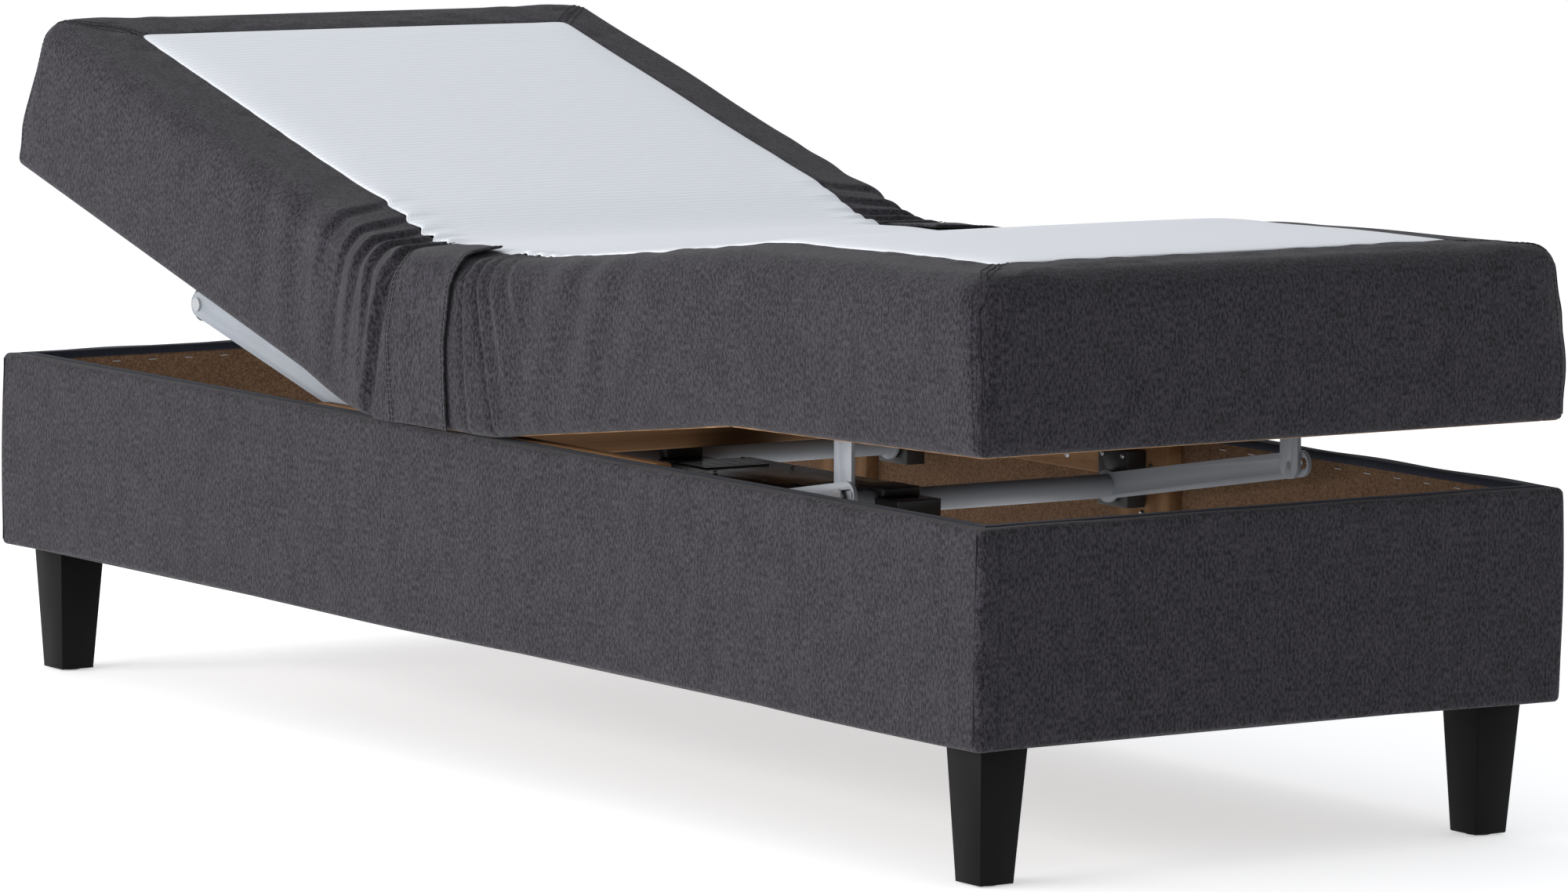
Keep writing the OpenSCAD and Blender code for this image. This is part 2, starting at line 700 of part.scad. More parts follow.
// Each motor lies along a long wall of the drive's body.
module motor_can() {
    translate([motor_x, drive_mid - motor_l / 2, drive_z0 + shell_t + motor_gap + motor_d / 2])
        rotate([-90, 0, 0]) cylinder(d = motor_d, h = motor_l);
}
module head_motor() { color("gray") motor_can(); }
module foot_motor() { color("gray") mirror([1, 0, 0]) motor_can(); }
module spindle_bar(y0, y1) {
    translate([0, y0, spindle_z]) rotate([-90, 0, 0]) cylinder(d = spindle_d, h = y1 - y0);
}
module head_spindle() { color("silver") spindle_bar(drive_mid + 8, head_slider_y + 45); }
module foot_spindle() { color("silver") spindle_bar(foot_slider_y - 45, drive_mid - 8); }
module slider_block(y0) {
    difference() {
        box_between([-lever_x - lever_t, y0, spindle_z - 14], [lever_x + lever_t, y0 + slider_l, spindle_z + 14]);
        translate([0, y0 - 1, spindle_z]) rotate([-90, 0, 0])
            cylinder(d = spindle_d + 2 * run_gap, h = slider_l + 2);
    }
}
module head_slider() { color("white") slider_block(head_slider_y - slider_l); }
module foot_slider() { color("white") slider_block(foot_slider_y); }

left_panel();
right_panel();
head_panel();
foot_panel();
base_cover();
corner_blocks();
leg_head_left();
leg_head_right();
leg_foot_left();
leg_foot_right();
leg_bolts();
leg_glides();
bearers();
bearer_posts();
tube_bearings();
seat_frame();
seat_core();
seat_cover();
seat_top();
seat_hinge_plates();
seat_hinge_pins();
back_frame();
back_core();
back_cover();
back_top();
back_hinge_plates();
back_runners();
back_fold();
thigh_frame();
thigh_core();
thigh_cover();
thigh_top();
thigh_hinge_plates();
knee_pins();
lap_fold();
calf_frame();
calf_core();
calf_cover();
calf_top();
calf_hinge_plates();
calf_brackets();
bracket_pins();
knee_fold();
back_torsion_tube();
back_lift_arms();
left_roller();
right_roller();
roller_bolts();
foot_torsion_tube();
foot_lift_arms();
drive_lower_shell();
drive_upper_shell();
drive_end_clips();
head_motor();
foot_motor();
head_spindle();
foot_spindle();
head_slider();
foot_slider();
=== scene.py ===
import json
import math

import bmesh
import bpy
import numpy as np
from mathutils import Matrix, Vector
from mathutils.bvhtree import BVHTree


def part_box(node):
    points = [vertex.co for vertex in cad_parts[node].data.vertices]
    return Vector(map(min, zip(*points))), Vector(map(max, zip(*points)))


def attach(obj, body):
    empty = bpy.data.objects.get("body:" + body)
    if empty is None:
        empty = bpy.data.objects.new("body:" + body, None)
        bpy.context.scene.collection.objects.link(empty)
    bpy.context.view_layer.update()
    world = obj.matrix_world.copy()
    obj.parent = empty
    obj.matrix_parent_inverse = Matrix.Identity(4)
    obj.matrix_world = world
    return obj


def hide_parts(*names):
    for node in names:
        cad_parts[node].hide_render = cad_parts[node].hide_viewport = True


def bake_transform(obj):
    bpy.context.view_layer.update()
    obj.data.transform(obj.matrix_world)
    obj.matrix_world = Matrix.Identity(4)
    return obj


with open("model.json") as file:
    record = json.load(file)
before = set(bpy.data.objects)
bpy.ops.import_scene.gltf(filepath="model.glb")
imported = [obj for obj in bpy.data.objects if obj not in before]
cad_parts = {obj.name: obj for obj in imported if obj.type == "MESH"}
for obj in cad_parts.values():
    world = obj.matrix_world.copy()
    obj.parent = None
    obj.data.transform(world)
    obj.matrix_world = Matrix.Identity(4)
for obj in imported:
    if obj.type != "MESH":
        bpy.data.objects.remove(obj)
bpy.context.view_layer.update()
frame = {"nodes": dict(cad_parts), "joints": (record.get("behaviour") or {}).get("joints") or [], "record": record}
print("frame loaded")

joints = {j["name"]: j for j in frame["joints"]}
backHinge = Vector(joints["back_hinge"]["pos_m"])
thighHinge = Vector(joints["thigh_hinge"]["pos_m"])
kneeHinge = Vector(joints["knee_hinge"]["pos_m"])
backRest = math.radians(-joints["back_hinge"]["range_deg"][0])
thighRest = math.radians(-joints["thigh_hinge"]["range_deg"][0])
boxLow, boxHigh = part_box("base_cover")
seatLow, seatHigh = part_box("seat_cover")
hingeZ = backHinge.z


def addObject(name, data):
    obj = bpy.data.objects.new(name, data)
    bpy.context.scene.collection.objects.link(obj)
    return obj


def meshFrom(name, points, faces, smooth=True):
    mesh = bpy.data.meshes.new(name)
    mesh.from_pydata([tuple(p) for p in points], [], [tuple(f) for f in faces])
    mesh.polygons.foreach_set("use_smooth", [smooth] * len(mesh.polygons))
    mesh.update()
    return mesh


def settled(obj):  # the modifiers' result becomes a plain mesh
    graph = bpy.context.evaluated_depsgraph_get()
    mesh = bpy.data.meshes.new_from_object(obj.evaluated_get(graph), depsgraph=graph)
    if obj.type == "MESH":
        obj.modifiers.clear()
        obj.data = mesh
        return obj
    name = obj.name
    bpy.data.objects.remove(obj)
    return addObject(name, mesh)


def valuesOf(items, what, kind=int, each=1):
    values = np.empty(len(items) * each, kind)
    items.foreach_get(what, values)
    return values


def placesOf(mesh, what="co"):
    return valuesOf(mesh.vertices, what, float, 3).reshape(-1, 3)


def setPlaces(mesh, co):
    mesh.vertices.foreach_set("co", np.asarray(co, float).ravel())
    mesh.update()


def paint(obj, *materials):
    obj.data.materials.clear()
    for material in materials:
        obj.data.materials.append(material)
    return obj


def markCloth(mesh, places):  # where the cloth lay before it was bent
    layer = mesh.attributes.get("clothPlace") or mesh.attributes.new("clothPlace", "FLOAT_VECTOR", "POINT")
    layer.data.foreach_set("vector", np.asarray(places, np.float32).ravel())


def clothOf(mesh):
    values = valuesOf(mesh.attributes["clothPlace"].data, "vector", np.float32, 3)
    return values.reshape(-1, 3).astype(float)


def softStep(t):
    t = np.clip(t, 0, 1)
    return t * t * (3 - 2 * t)


def hump(t, width):
    return np.exp(-((t / width) ** 2))


def turnAbout(co, y0, z0, angle):
    y, z = co[:, 1] - y0, co[:, 2] - z0
    out = co.copy()
    out[:, 1] = y0 + y * np.cos(angle) - z * np.sin(angle)
    out[:, 2] = z0 + y * np.sin(angle) + z * np.cos(angle)
    return out


def spread(low, high, step):
    return list(np.linspace(low, high, max(1, round((high - low) / step)) + 1))


def gridLines(stops, steps):  # lines that pass through every stop
    lines = []
    for low, high, step in zip(stops, stops[1:], steps):
        lines += spread(low, high, step)[:-1]
    return lines + [stops[-1]]


def boxGrid(xs, ys, zs):  # the six faces of a box as one closed grid
    index, points, faces = {}, [], []

    def vert(i, j, k):
        if (i, j, k) not in index:
            index[i, j, k] = len(points)
            points.append((xs[i], ys[j], zs[k]))
        return index[i, j, k]

    nx, ny, nz = len(xs) - 1, len(ys) - 1, len(zs) - 1
    for i in range(nx):
        for j in range(ny):
            faces.append([vert(i, j, 0), vert(i, j + 1, 0), vert(i + 1, j + 1, 0), vert(i + 1, j, 0)])
            faces.append([vert(i, j, nz), vert(i + 1, j, nz), vert(i + 1, j + 1, nz), vert(i, j + 1, nz)])
        for k in range(nz):
            faces.append([vert(i, 0, k), vert(i + 1, 0, k), vert(i + 1, 0, k + 1), vert(i, 0, k + 1)])
            faces.append([vert(i, ny, k), vert(i, ny, k + 1), vert(i + 1, ny, k + 1), vert(i + 1, ny, k)])
    for j in range(ny):
        for k in range(nz):
            faces.append([vert(0, j, k), vert(0, j, k + 1), vert(0, j + 1, k + 1), vert(0, j + 1, k)])
            faces.append([vert(nx, j, k), vert(nx, j + 1, k), vert(nx, j + 1, k + 1), vert(nx, j, k + 1)])
    return np.array(points), faces


camera = {
    "azimuth": -35.74,
    "elevation": 6.525,
    "roll": 0.912,
    "place": (-5.8649, -8.2384, 1.5097),
    "lens": 201.36,
}
lamps = {  # place, aimed at, width, height, power, colour
    "leftSoftbox": ((-5.4, 0.9, 1.5), (0, 0, 0.35), 5.0, 2.4, 285, (1.0, 0.985, 0.975)),
    "topSoftbox": ((0.6, 2.5, 5.4), (0, 0, 0.5), 4.0, 4.0, 40, (0.96, 0.98, 1.0)),
}
surroundings = {"colour": (0.95, 0.97, 1.0), "strength": 0.55, "seen": 1.02, "floor": (0.95, 0.95, 0.955),
                "floorGlow": 0.50, "floorSize": 60}


def makeCamera():
    a, e, r = (math.radians(camera[k]) for k in ("azimuth", "elevation", "roll"))
    back = Vector((math.sin(a) * math.cos(e), -math.cos(a) * math.cos(e), math.sin(e)))
    right = Vector((math.cos(a), math.sin(a), 0))
    up = back.cross(right)
    level = Matrix((right, up, back)).transposed()
    obj = addObject("camera", bpy.data.cameras.new("camera"))
    obj.data.lens = camera["lens"]
    obj.data.clip_end = 200
    obj.matrix_world = Matrix.Translation(camera["place"]) @ (level @ Matrix.Rotation(r, 3, "Z")).to_4x4()
    bpy.context.scene.camera = obj


def makeLight():
    for name, (place, target, width, height, power, colour) in lamps.items():
        light = bpy.data.lights.new(name, "AREA")
        light.shape, light.size, light.size_y = "RECTANGLE", width, height
        light.energy, light.color = power, colour
        obj = addObject(name, light)
        obj.rotation_euler = (Vector(target) - Vector(place)).to_track_quat("-Z", "Y").to_euler()
        obj.location = place
    world = bpy.data.worlds.new("studio")
    world.use_nodes = True
    sky = world.node_tree.nodes["Background"]
    sky.inputs["Color"].default_value = (*surroundings["colour"], 1)
    rays = world.node_tree.nodes.new("ShaderNodeLightPath")
    level = world.node_tree.nodes.new("ShaderNodeMapRange")  # the backdrop outshines the light it gives
    level.inputs["To Min"].default_value = surroundings["strength"]
    level.inputs["To Max"].default_value = surroundings["seen"]
    world.node_tree.links.new(rays.outputs["Is Camera Ray"], level.inputs["Value"])
    world.node_tree.links.new(level.outputs["Result"], sky.inputs["Strength"])
    bpy.context.scene.world = world
    bpy.context.scene.view_settings.view_transform = "Standard"


makeCamera()
makeLight()
print("camera and light ready")


def addSockets(tree, way, sockets):
    for label, kind in sockets.items():
        tree.interface.new_socket(label, in_out=way, socket_type="NodeSocket" + kind)


def makeGroup(name, inputs, outputs=()):
    tree = bpy.data.node_groups.new(name, "ShaderNodeTree")
    addSockets(tree, "INPUT", {"Place": "Vector", **inputs})
    addSockets(tree, "OUTPUT", {"Color": "Color", **dict(outputs), "Height": "Float"})
    return tree, tree.nodes.new("NodeGroupInput").outputs, tree.nodes.new("NodeGroupOutput").inputs


def joined(tree, value, socket):  # a number is set, a socket is linked
    if isinstance(value, bpy.types.NodeSocket):
        tree.links.new(value, socket)
    elif value is not None:
        socket.default_value = value


def mapped(tree, place, stretch, turn=(0, 0, 0)):
    node = tree.nodes.new("ShaderNodeMapping")
    node.inputs["Rotation"].default_value = turn
    node.inputs["Scale"].default_value = stretch
    tree.links.new(place, node.inputs["Vector"])
    return node.outputs["Vector"]


def noise(tree, place, scale, detail=3.0, stretch=None):
    if stretch:
        place = mapped(tree, place, stretch)
    node = tree.nodes.new("ShaderNodeTexNoise")
    node.inputs["Detail"].default_value = detail
    joined(tree, scale, node.inputs["Scale"])
    tree.links.new(place, node.inputs["Vector"])
    return node.outputs["Fac"]


def math2(tree, kind, a, b=None, clamp=False):
    node = tree.nodes.new("ShaderNodeMath")
    node.operation, node.use_clamp = kind, clamp
    joined(tree, a, node.inputs[0])
    joined(tree, b, node.inputs[1])
    return node.outputs[0]


def ranged(tree, value, low, high, to=(0.0, 1.0)):
    node = tree.nodes.new("ShaderNodeMapRange")
    for socket, number in zip(node.inputs[1:5], (low, high, *to)):
        socket.default_value = number
    tree.links.new(value, node.inputs[0])
    return node.outputs[0]


def blended(tree, factor, a, b):
    node = tree.nodes.new("ShaderNodeMix")
    node.data_type = "RGBA"
    joined(tree, factor, node.inputs[0])
    for value, socket in ((a, node.inputs[6]), (b, node.inputs[7])):
        joined(tree, (*value, 1) if isinstance(value, tuple) else value, socket)
    return node.outputs[2]


weave = {  # noise scale and stretch along the upright, for each kind of unevenness
    "slub": (340.0, (1, 1, 0.5)),
    "fade": (46.0, (1, 1, 0.6)),
    "grainShare": 0.6,
    "bumpDepth": 0.0006,
}


def makeWeave():  # mixed yarns with long slubs, for every woven cloth
    tree, given, result = makeGroup(
        "melangeWeave",
        {"Dark yarn": "Color", "Light yarn": "Color", "Grain": "Float", "Slub": "Float", "Fade": "Float"})
    grain = ranged(tree, noise(tree, given["Place"], given["Grain"], 2.0), 0.34, 0.66)
    (slubScale, slubStretch), (fadeScale, fadeStretch) = weave["slub"], weave["fade"]
    slub = ranged(tree, noise(tree, given["Place"], slubScale, 3.0, slubStretch), 0.36, 0.64, (-0.5, 0.5))
    fade = ranged(tree, noise(tree, given["Place"], fadeScale, 5.0, fadeStretch), 0.3, 0.7, (-0.5, 0.5))
    mix = math2(tree, "MULTIPLY", math2(tree, "SUBTRACT", grain, 0.5), weave["grainShare"])
    mix = math2(tree, "ADD", math2(tree, "ADD", mix, 0.5), math2(tree, "MULTIPLY", slub, given["Slub"]))
    mix = math2(tree, "ADD", mix, math2(tree, "MULTIPLY", fade, given["Fade"]), True)
    tree.links.new(blended(tree, mix, given["Dark yarn"], given["Light yarn"]), result["Color"])
    tree.links.new(grain, result["Height"])
    return tree


def makeGrain():  # growth rings seen along a sawn board
    tree, given, result = makeGroup(
        "sawnGrain", {"Early wood": "Color", "Late wood": "Color", "Rings": "Float"})
    wave = tree.nodes.new("ShaderNodeTexWave")
    wave.wave_type, wave.rings_direction = "RINGS", "X"
    wave.inputs["Distortion"].default_value = 3.5
    wave.inputs["Detail"].default_value = 3.0
    wave.inputs["Detail Scale"].default_value = 0.6
    joined(tree, given["Rings"], wave.inputs["Scale"])
    joined(tree, given["Place"], wave.inputs["Vector"])
    pores = ranged(tree, noise(tree, given["Place"], 700.0, 2.0, (0.08, 1, 1)), 0.45, 0.7)
    mix = math2(tree, "ADD", math2(tree, "MULTIPLY", wave.outputs["Fac"], 0.75),
                math2(tree, "MULTIPLY", pores, 0.35), True)
    tree.links.new(blended(tree, mix, given["Early wood"], given["Late wood"]), result["Color"])
    tree.links.new(mix, result["Height"])
    return tree


def makeHandling():  # faint smears and dust, for hard finishes
    tree, given, result = makeGroup(
        "handlingMarks",
        {"Base": "Color", "Dust": "Color", "Amount": "Float", "Smooth": "Float", "Rough": "Float"},
        {"Roughness": "Float"})
    smear = ranged(tree, noise(tree, given["Place"], 14.0, 5.0), 0.35, 0.7)
    speck = ranged(tree, noise(tree, given["Place"], 900.0, 2.0), 0.3, 0.7)
    amount = math2(tree, "MULTIPLY", smear, given["Amount"])
    tree.links.new(blended(tree, amount, given["Base"], given["Dust"]), result["Color"])
    gap = math2(tree, "SUBTRACT", given["Rough"], given["Smooth"])
    tree.links.new(math2(tree, "ADD", given["Smooth"], math2(tree, "MULTIPLY", gap, smear)),
                   result["Roughness"])
    tree.links.new(speck, result["Height"])
    return tree


groups = {"weave": makeWeave(), "grain": makeGrain(), "handling": makeHandling()}


def startMaterial(name, place="Object", **fixed):
    material = bpy.data.materials.new(name)
    material.use_nodes = True
    tree = material.node_tree
    shader = tree.nodes["Principled BSDF"]
    for label, value in fixed.items():
        shader.inputs[label.replace("_", " ")].default_value = value
    if place == "cloth":
        source = tree.nodes.new("ShaderNodeAttribute")
        source.attribute_name = "clothPlace"
        return material, tree, shader, source.outputs["Vector"]
    return material, tree, shader, tree.nodes.new("ShaderNodeTexCoord").outputs["Object"]


def useGroup(tree, group, place, **values):
    node = tree.nodes.new("ShaderNodeGroup")
    node.node_tree = groups[group]
    tree.links.new(place, node.inputs["Place"])
    for label, value in values.items():
        joined(tree, (*value, 1) if isinstance(value, tuple) else value, node.inputs[label.replace("_", " ")])
    return node.outputs


def addBump(tree, shader, height, strength, distance):
    bump = tree.nodes.new("ShaderNodeBump")
    bump.inputs["Strength"].default_value = strength
    bump.inputs["Distance"].default_value = distance
    tree.links.new(height, bump.inputs["Height"])
    tree.links.new(bump.outputs["Normal"], shader.inputs["Normal"])


def wovenMaterial(name, dark, light, place="cloth", slub=0.3, fade=0.25, grain=800.0, bump=0.6):
    material, tree, shader, at = startMaterial(name, place, Roughness=0.93, Sheen_Weight=0.12,
                                               Sheen_Roughness=0.5, Specular_IOR_Level=0.2)
    cloth = useGroup(tree, "weave", at, Dark_yarn=dark, Light_yarn=light, Slub=slub, Fade=fade, Grain=grain)
    tree.links.new(cloth["Color"], shader.inputs["Base Color"])
    addBump(tree, shader, cloth["Height"], bump, weave["bumpDepth"])
    return material


knitted = {
    "rib": 0.009,                    # from rib to rib along the bed
    "stitch": 0.004,                 # and from stitch to stitch across it
    "stitchShare": 0.45,
    "wander": 0.006,
    # painted shade: the knit's low parts between ribs and stitches are coloured darker, its high parts lighter
    "low": (0.83, 0.865, 0.92),
    "high": (0.93, 0.95, 0.985),
}


def knitMaterial():
    material, tree, shader, at = startMaterial("whiteKnit", "cloth", Roughness=0.85, Sheen_Weight=0.15,
                                               Specular_IOR_Level=0.25)
    parts = tree.nodes.new("ShaderNodeSeparateXYZ")
    tree.links.new(at, parts.inputs[0])
    wander = math2(tree, "MULTIPLY", noise(tree, at, 18.0, 2.0), knitted["wander"])
    alongBed = math2(tree, "ADD", parts.outputs["Y"], wander)
    acrossBed = math2(tree, "ADD", parts.outputs["X"], wander)
    rib = math2(tree, "SINE", math2(tree, "MULTIPLY", alongBed, 2 * math.pi / knitted["rib"]))
    stitch = math2(tree, "SINE", math2(tree, "MULTIPLY", acrossBed, 2 * math.pi / knitted["stitch"]))
    height = math2(tree, "ADD", rib, math2(tree, "MULTIPLY", stitch, knitted["stitchShare"]))
    shade = ranged(tree, height, -1.4, 1.4)
    tree.links.new(blended(tree, shade, knitted["low"], knitted["high"]), shader.inputs["Base Color"])
    addBump(tree, shader, height, 0.5, 0.0006)
    return material


def timberMaterial(name, early, late, rings=9.0, turn=(0, 0, 0), stretch=(0.12, 1, 1)):
    material, tree, shader, at = startMaterial(name, Roughness=0.7, Specular_IOR_Level=0.3)
    along = mapped(tree, at, stretch, turn)
    wood = useGroup(tree, "grain", along, Early_wood=early, Late_wood=late, Rings=rings)
    tree.links.new(wood["Color"], shader.inputs["Base Color"])
    addBump(tree, shader, wood["Height"], 0.3, 0.0004)
    return material


chips = {
    "scale": 480.0,
    "dark": (0.13, 0.072, 0.040),
    "light": (0.27, 0.165, 0.098),
    "flour": (0.08, 0.045, 0.026),   # the fine dark dust pressed between them
    "flourShare": 0.3,
}


def chipboardMaterial():
    material, tree, shader, at = startMaterial("chipboard", Roughness=0.85, Specular_IOR_Level=0.2)
    flakes = tree.nodes.new("ShaderNodeTexVoronoi")
    flakes.inputs["Scale"].default_value = chips["scale"]
    tree.links.new(at, flakes.inputs["Vector"])
    tint = tree.nodes.new("ShaderNodeSeparateColor")
    tree.links.new(flakes.outputs["Color"], tint.inputs[0])
    patch = ranged(tree, noise(tree, at, 12.0, 3.0), 0.3, 0.7, (-0.06, 0.06))
    mix = math2(tree, "ADD", tint.outputs[0], patch, True)
    flour = ranged(tree, noise(tree, at, 900.0, 2.0), 0.35, 0.65)
    colour = blended(tree, mix, chips["dark"], chips["light"])
    colour = blended(tree, math2(tree, "MULTIPLY", flour, chips["flourShare"]), colour, chips["flour"])
    tree.links.new(colour, shader.inputs["Base Color"])
    addBump(tree, shader, flour, 0.4, 0.0006)
    return material


def hardMaterial(name, base, dust, amount, smooth, rough, metal=0.0, bump=0.1, gloss=0.5):
    material, tree, shader, at = startMaterial(name, Metallic=metal, Specular_IOR_Level=gloss)
    marks = useGroup(tree, "handling", at, Base=base, Dust=dust, Amount=amount, Smooth=smooth, Rough=rough)
    tree.links.new(marks["Color"], shader.inputs["Base Color"])
    tree.links.new(marks["Roughness"], shader.inputs["Roughness"])
    addBump(tree, shader, marks["Height"], bump, 0.0003)
    return material


pineColours = {"early": (0.33, 0.185, 0.088), "late": (0.19, 0.092, 0.038)}
# painted shade: the posts and corner blocks get a darker copy of the pine's colours, for the shade they stand in
# inside the box
shadedPostColours = {"early": (0.28, 0.155, 0.075), "late": (0.155, 0.075, 0.03)}
materials = {
    "sideCloth": wovenMaterial("charcoalCloth", (0.0045, 0.0039, 0.0052), (0.043, 0.0385, 0.0490),
                               slub=1.0, fade=0.30),
    "rimTape": wovenMaterial("navyTape", (0.006, 0.008, 0.016), (0.022, 0.027, 0.045), grain=1200.0),
    "lining": wovenMaterial("blackLining", (0.008, 0.008, 0.009), (0.03, 0.03, 0.032), slub=0.0, grain=500.0),
    "thread": wovenMaterial("charcoalThread", (0.008, 0.008, 0.010), (0.022, 0.021, 0.026), "Object",
                            grain=2500.0),
    # painted shadow: the seam cords are coloured darker than the side cloth, for the shade in the seam's fold
    "seamShadow": wovenMaterial("seamFoldShadow", (0.008, 0.007, 0.009), (0.02, 0.018, 0.022), "Object"),
    "knit": knitMaterial(),
    "chipboard": chipboardMaterial(),
    "pineAcross": timberMaterial("pineAcross", **pineColours),
    "pineAlong": timberMaterial("pineAlong", **pineColours, turn=(0, 0, math.pi / 2)),
    "pineUpright": timberMaterial("pineUpright", **shadedPostColours, turn=(0, math.pi / 2, 0)),
    "lacquer": hardMaterial("blackLacquer", (0.004, 0.004, 0.0045), (0.02, 0.02, 0.021), 0.05, 0.4, 0.52,
                            bump=0.06, gloss=0.08),
    "greyPaint": hardMaterial("greyPaint", (0.27, 0.295, 0.33), (0.21, 0.225, 0.24), 0.3, 0.34, 0.5,
                              bump=0.15),
    "zinc": hardMaterial("zincPlate", (0.52, 0.53, 0.55), (0.38, 0.37, 0.35), 0.35, 0.25, 0.45, metal=1.0),
    "driveShell": hardMaterial("driveShell", (0.009, 0.009, 0.010), (0.04, 0.04, 0.042), 0.15, 0.14, 0.3,
                               bump=0.12),
    "blackPlastic": hardMaterial("blackPlastic", (0.014, 0.014, 0.015), (0.06, 0.06, 0.06), 0.15, 0.35, 0.55),
    "nylon": hardMaterial("naturalNylon", (0.52, 0.50, 0.45), (0.36, 0.34, 0.30), 0.3, 0.35, 0.5),
}
print("materials ready")


def makeFloor():
    size = surroundings["floorSize"] / 2
    corners = [(x * size, y * size, 0) for x, y in ((-1, -1), (1, -1), (1, 1), (-1, 1))]
    floor = addObject("floor", meshFrom("floor", corners, [(0, 1, 2, 3)]))
    material, tree, shader, at = startMaterial("paleFloor", Roughness=0.75, Specular_IOR_Level=0.2,
                                               Emission_Color=(1, 1, 1, 1),
                                               Emission_Strength=surroundings["floorGlow"])
    tone = ranged(tree, noise(tree, at, 2.0, 3.0), 0.2, 0.8)
    shade = surroundings["floor"]
    tree.links.new(blended(tree, tone, tuple(c * 0.99 for c in shade), shade), shader.inputs["Base Color"])
    paint(floor, material)


makeFloor()


easing = {  # finish, edge radius, nodes
    "panels": ("chipboard", 0.0005, "left_panel right_panel head_panel foot_panel"),
    "blocks": ("pineUpright", 0.0015, "corner_blocks"),
    "bearers": ("pineAlong", 0.002, "bearers"),
    "posts": ("pineUpright", 0.0015, "bearer_posts"),
    "bearings": ("blackPlastic", 0.002, "tube_bearings"),
    "legs": ("lacquer", 0.0025, "leg_head_left leg_head_right leg_foot_left leg_foot_right"),
    "frames": ("pineAcross", 0.002, "seat_frame back_frame thigh_frame calf_frame"),
    "plates": ("zinc", 0.0008, "seat_hinge_plates back_hinge_plates thigh_hinge_plates calf_hinge_plates"),
    "runners": ("nylon", 0.0015, "back_runners"),
    "arms": ("greyPaint", 0.0008, "calf_brackets back_lift_arms foot_lift_arms"),
    "driveBase": ("driveShell", 0.004, "drive_lower_shell"),
    "driveLid": ("driveShell", 0.003, "drive_upper_shell"),
    "clips": ("blackPlastic", 0.002, "drive_end_clips"),
    "sliders": ("nylon", 0.001, "head_slider foot_slider"),
}
plain = {  # nodes that keep their own shape
    "zinc": "leg_bolts seat_hinge_pins knee_pins bracket_pins roller_bolts head_motor foot_motor"
            " head_spindle foot_spindle",
    "blackPlastic": "leg_glides left_roller right_roller",
    "greyPaint": "back_torsion_tube foot_torsion_tube",
}
bodyOf = {n: b for b, nodes in frame["record"]["behaviour"]["bodies"].items() for n in nodes}


def easeEdges(node, finish, radius):
    mesh = frame["nodes"][node].data.copy()
    shape = bmesh.new()
    shape.from_mesh(mesh)
    bmesh.ops.remove_doubles(shape, verts=shape.verts, dist=1e-5)
    bmesh.ops.dissolve_limit(shape, angle_limit=math.radians(0.5), verts=shape.verts, edges=shape.edges)
    shape.to_mesh(mesh)
    shape.free()
    parts = [word.capitalize() for word in node.split("_")]
    obj = addObject(parts[0].lower() + "".join(parts[1:]) + "Eased", mesh)
    bevel = obj.modifiers.new("ease", "BEVEL")
    bevel.width, bevel.segments, bevel.limit_method = radius, 2, "ANGLE"
    bevel.angle_limit = math.radians(40)
    bevel.use_clamp_overlap = True
    settled(obj)
    obj.data.polygons.foreach_set("use_smooth", [True] * len(obj.data.polygons))
    obj.data.set_sharp_from_angle(angle=math.radians(35))
    paint(obj, materials[finish])
    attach(obj, bodyOf[node])
    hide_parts(node)
    return obj


for finish, radius, nodes in easing.values():
    for node in nodes.split():
        easeEdges(node, finish, radius)
for finish, nodes in plain.items():
    for node in nodes.split():
        for slot in frame["nodes"][node].material_slots:
            slot.material = materials[finish]
print("frame parts finished")


bends = {
    "back": (0.075, 0.335),          # along the flat bed: where the bend starts and ends
    "lap": (0.01, -0.15),
    "knee": (-0.46, -0.62),
    "kneeAngle": math.radians(5.7),
    "kneeFlat": thighHinge.y - (kneeHinge - thighHinge).length,
    "splits": (0.055, -0.30),        # the cover changes piece here
}


def bendMattress(co):
    def share(zone):
        return softStep((co[:, 1] - zone[0]) / (zone[1] - zone[0]))
    back, lap, knee = share(bends["back"]), share(bends["lap"]), share(bends["knee"])
    out = turnAbout(co, bends["kneeFlat"], hingeZ, knee * bends["kneeAngle"])
    out = turnAbout(out, thighHinge.y, hingeZ, -lap * thighRest)
    return np.where((co[:, 1] > bends["splits"][0])[:, None],
                    turnAbout(co, backHinge.y, hingeZ, back * backRest), out)


def bentPoint(y, z=hingeZ):
    return tuple(bendMattress(np.array([[0.0, y, z]]))[0])


blends = {
    "head": ("base", "back", bentPoint(bends["back"][0]), bentPoint(bends["back"][1])),
    "lap": ("base", "thigh", bentPoint(bends["lap"][0]), bentPoint(bends["lap"][1])),
    "foot": ("thigh", "calf", bentPoint(bends["knee"][0]), bentPoint(bends["knee"][1])),
}


def lengthShare(places):  # which piece a place on the flat bed belongs to
    high, low = bends["splits"]
    return np.where(places > high, 0, np.where(places > low, 1, 2))


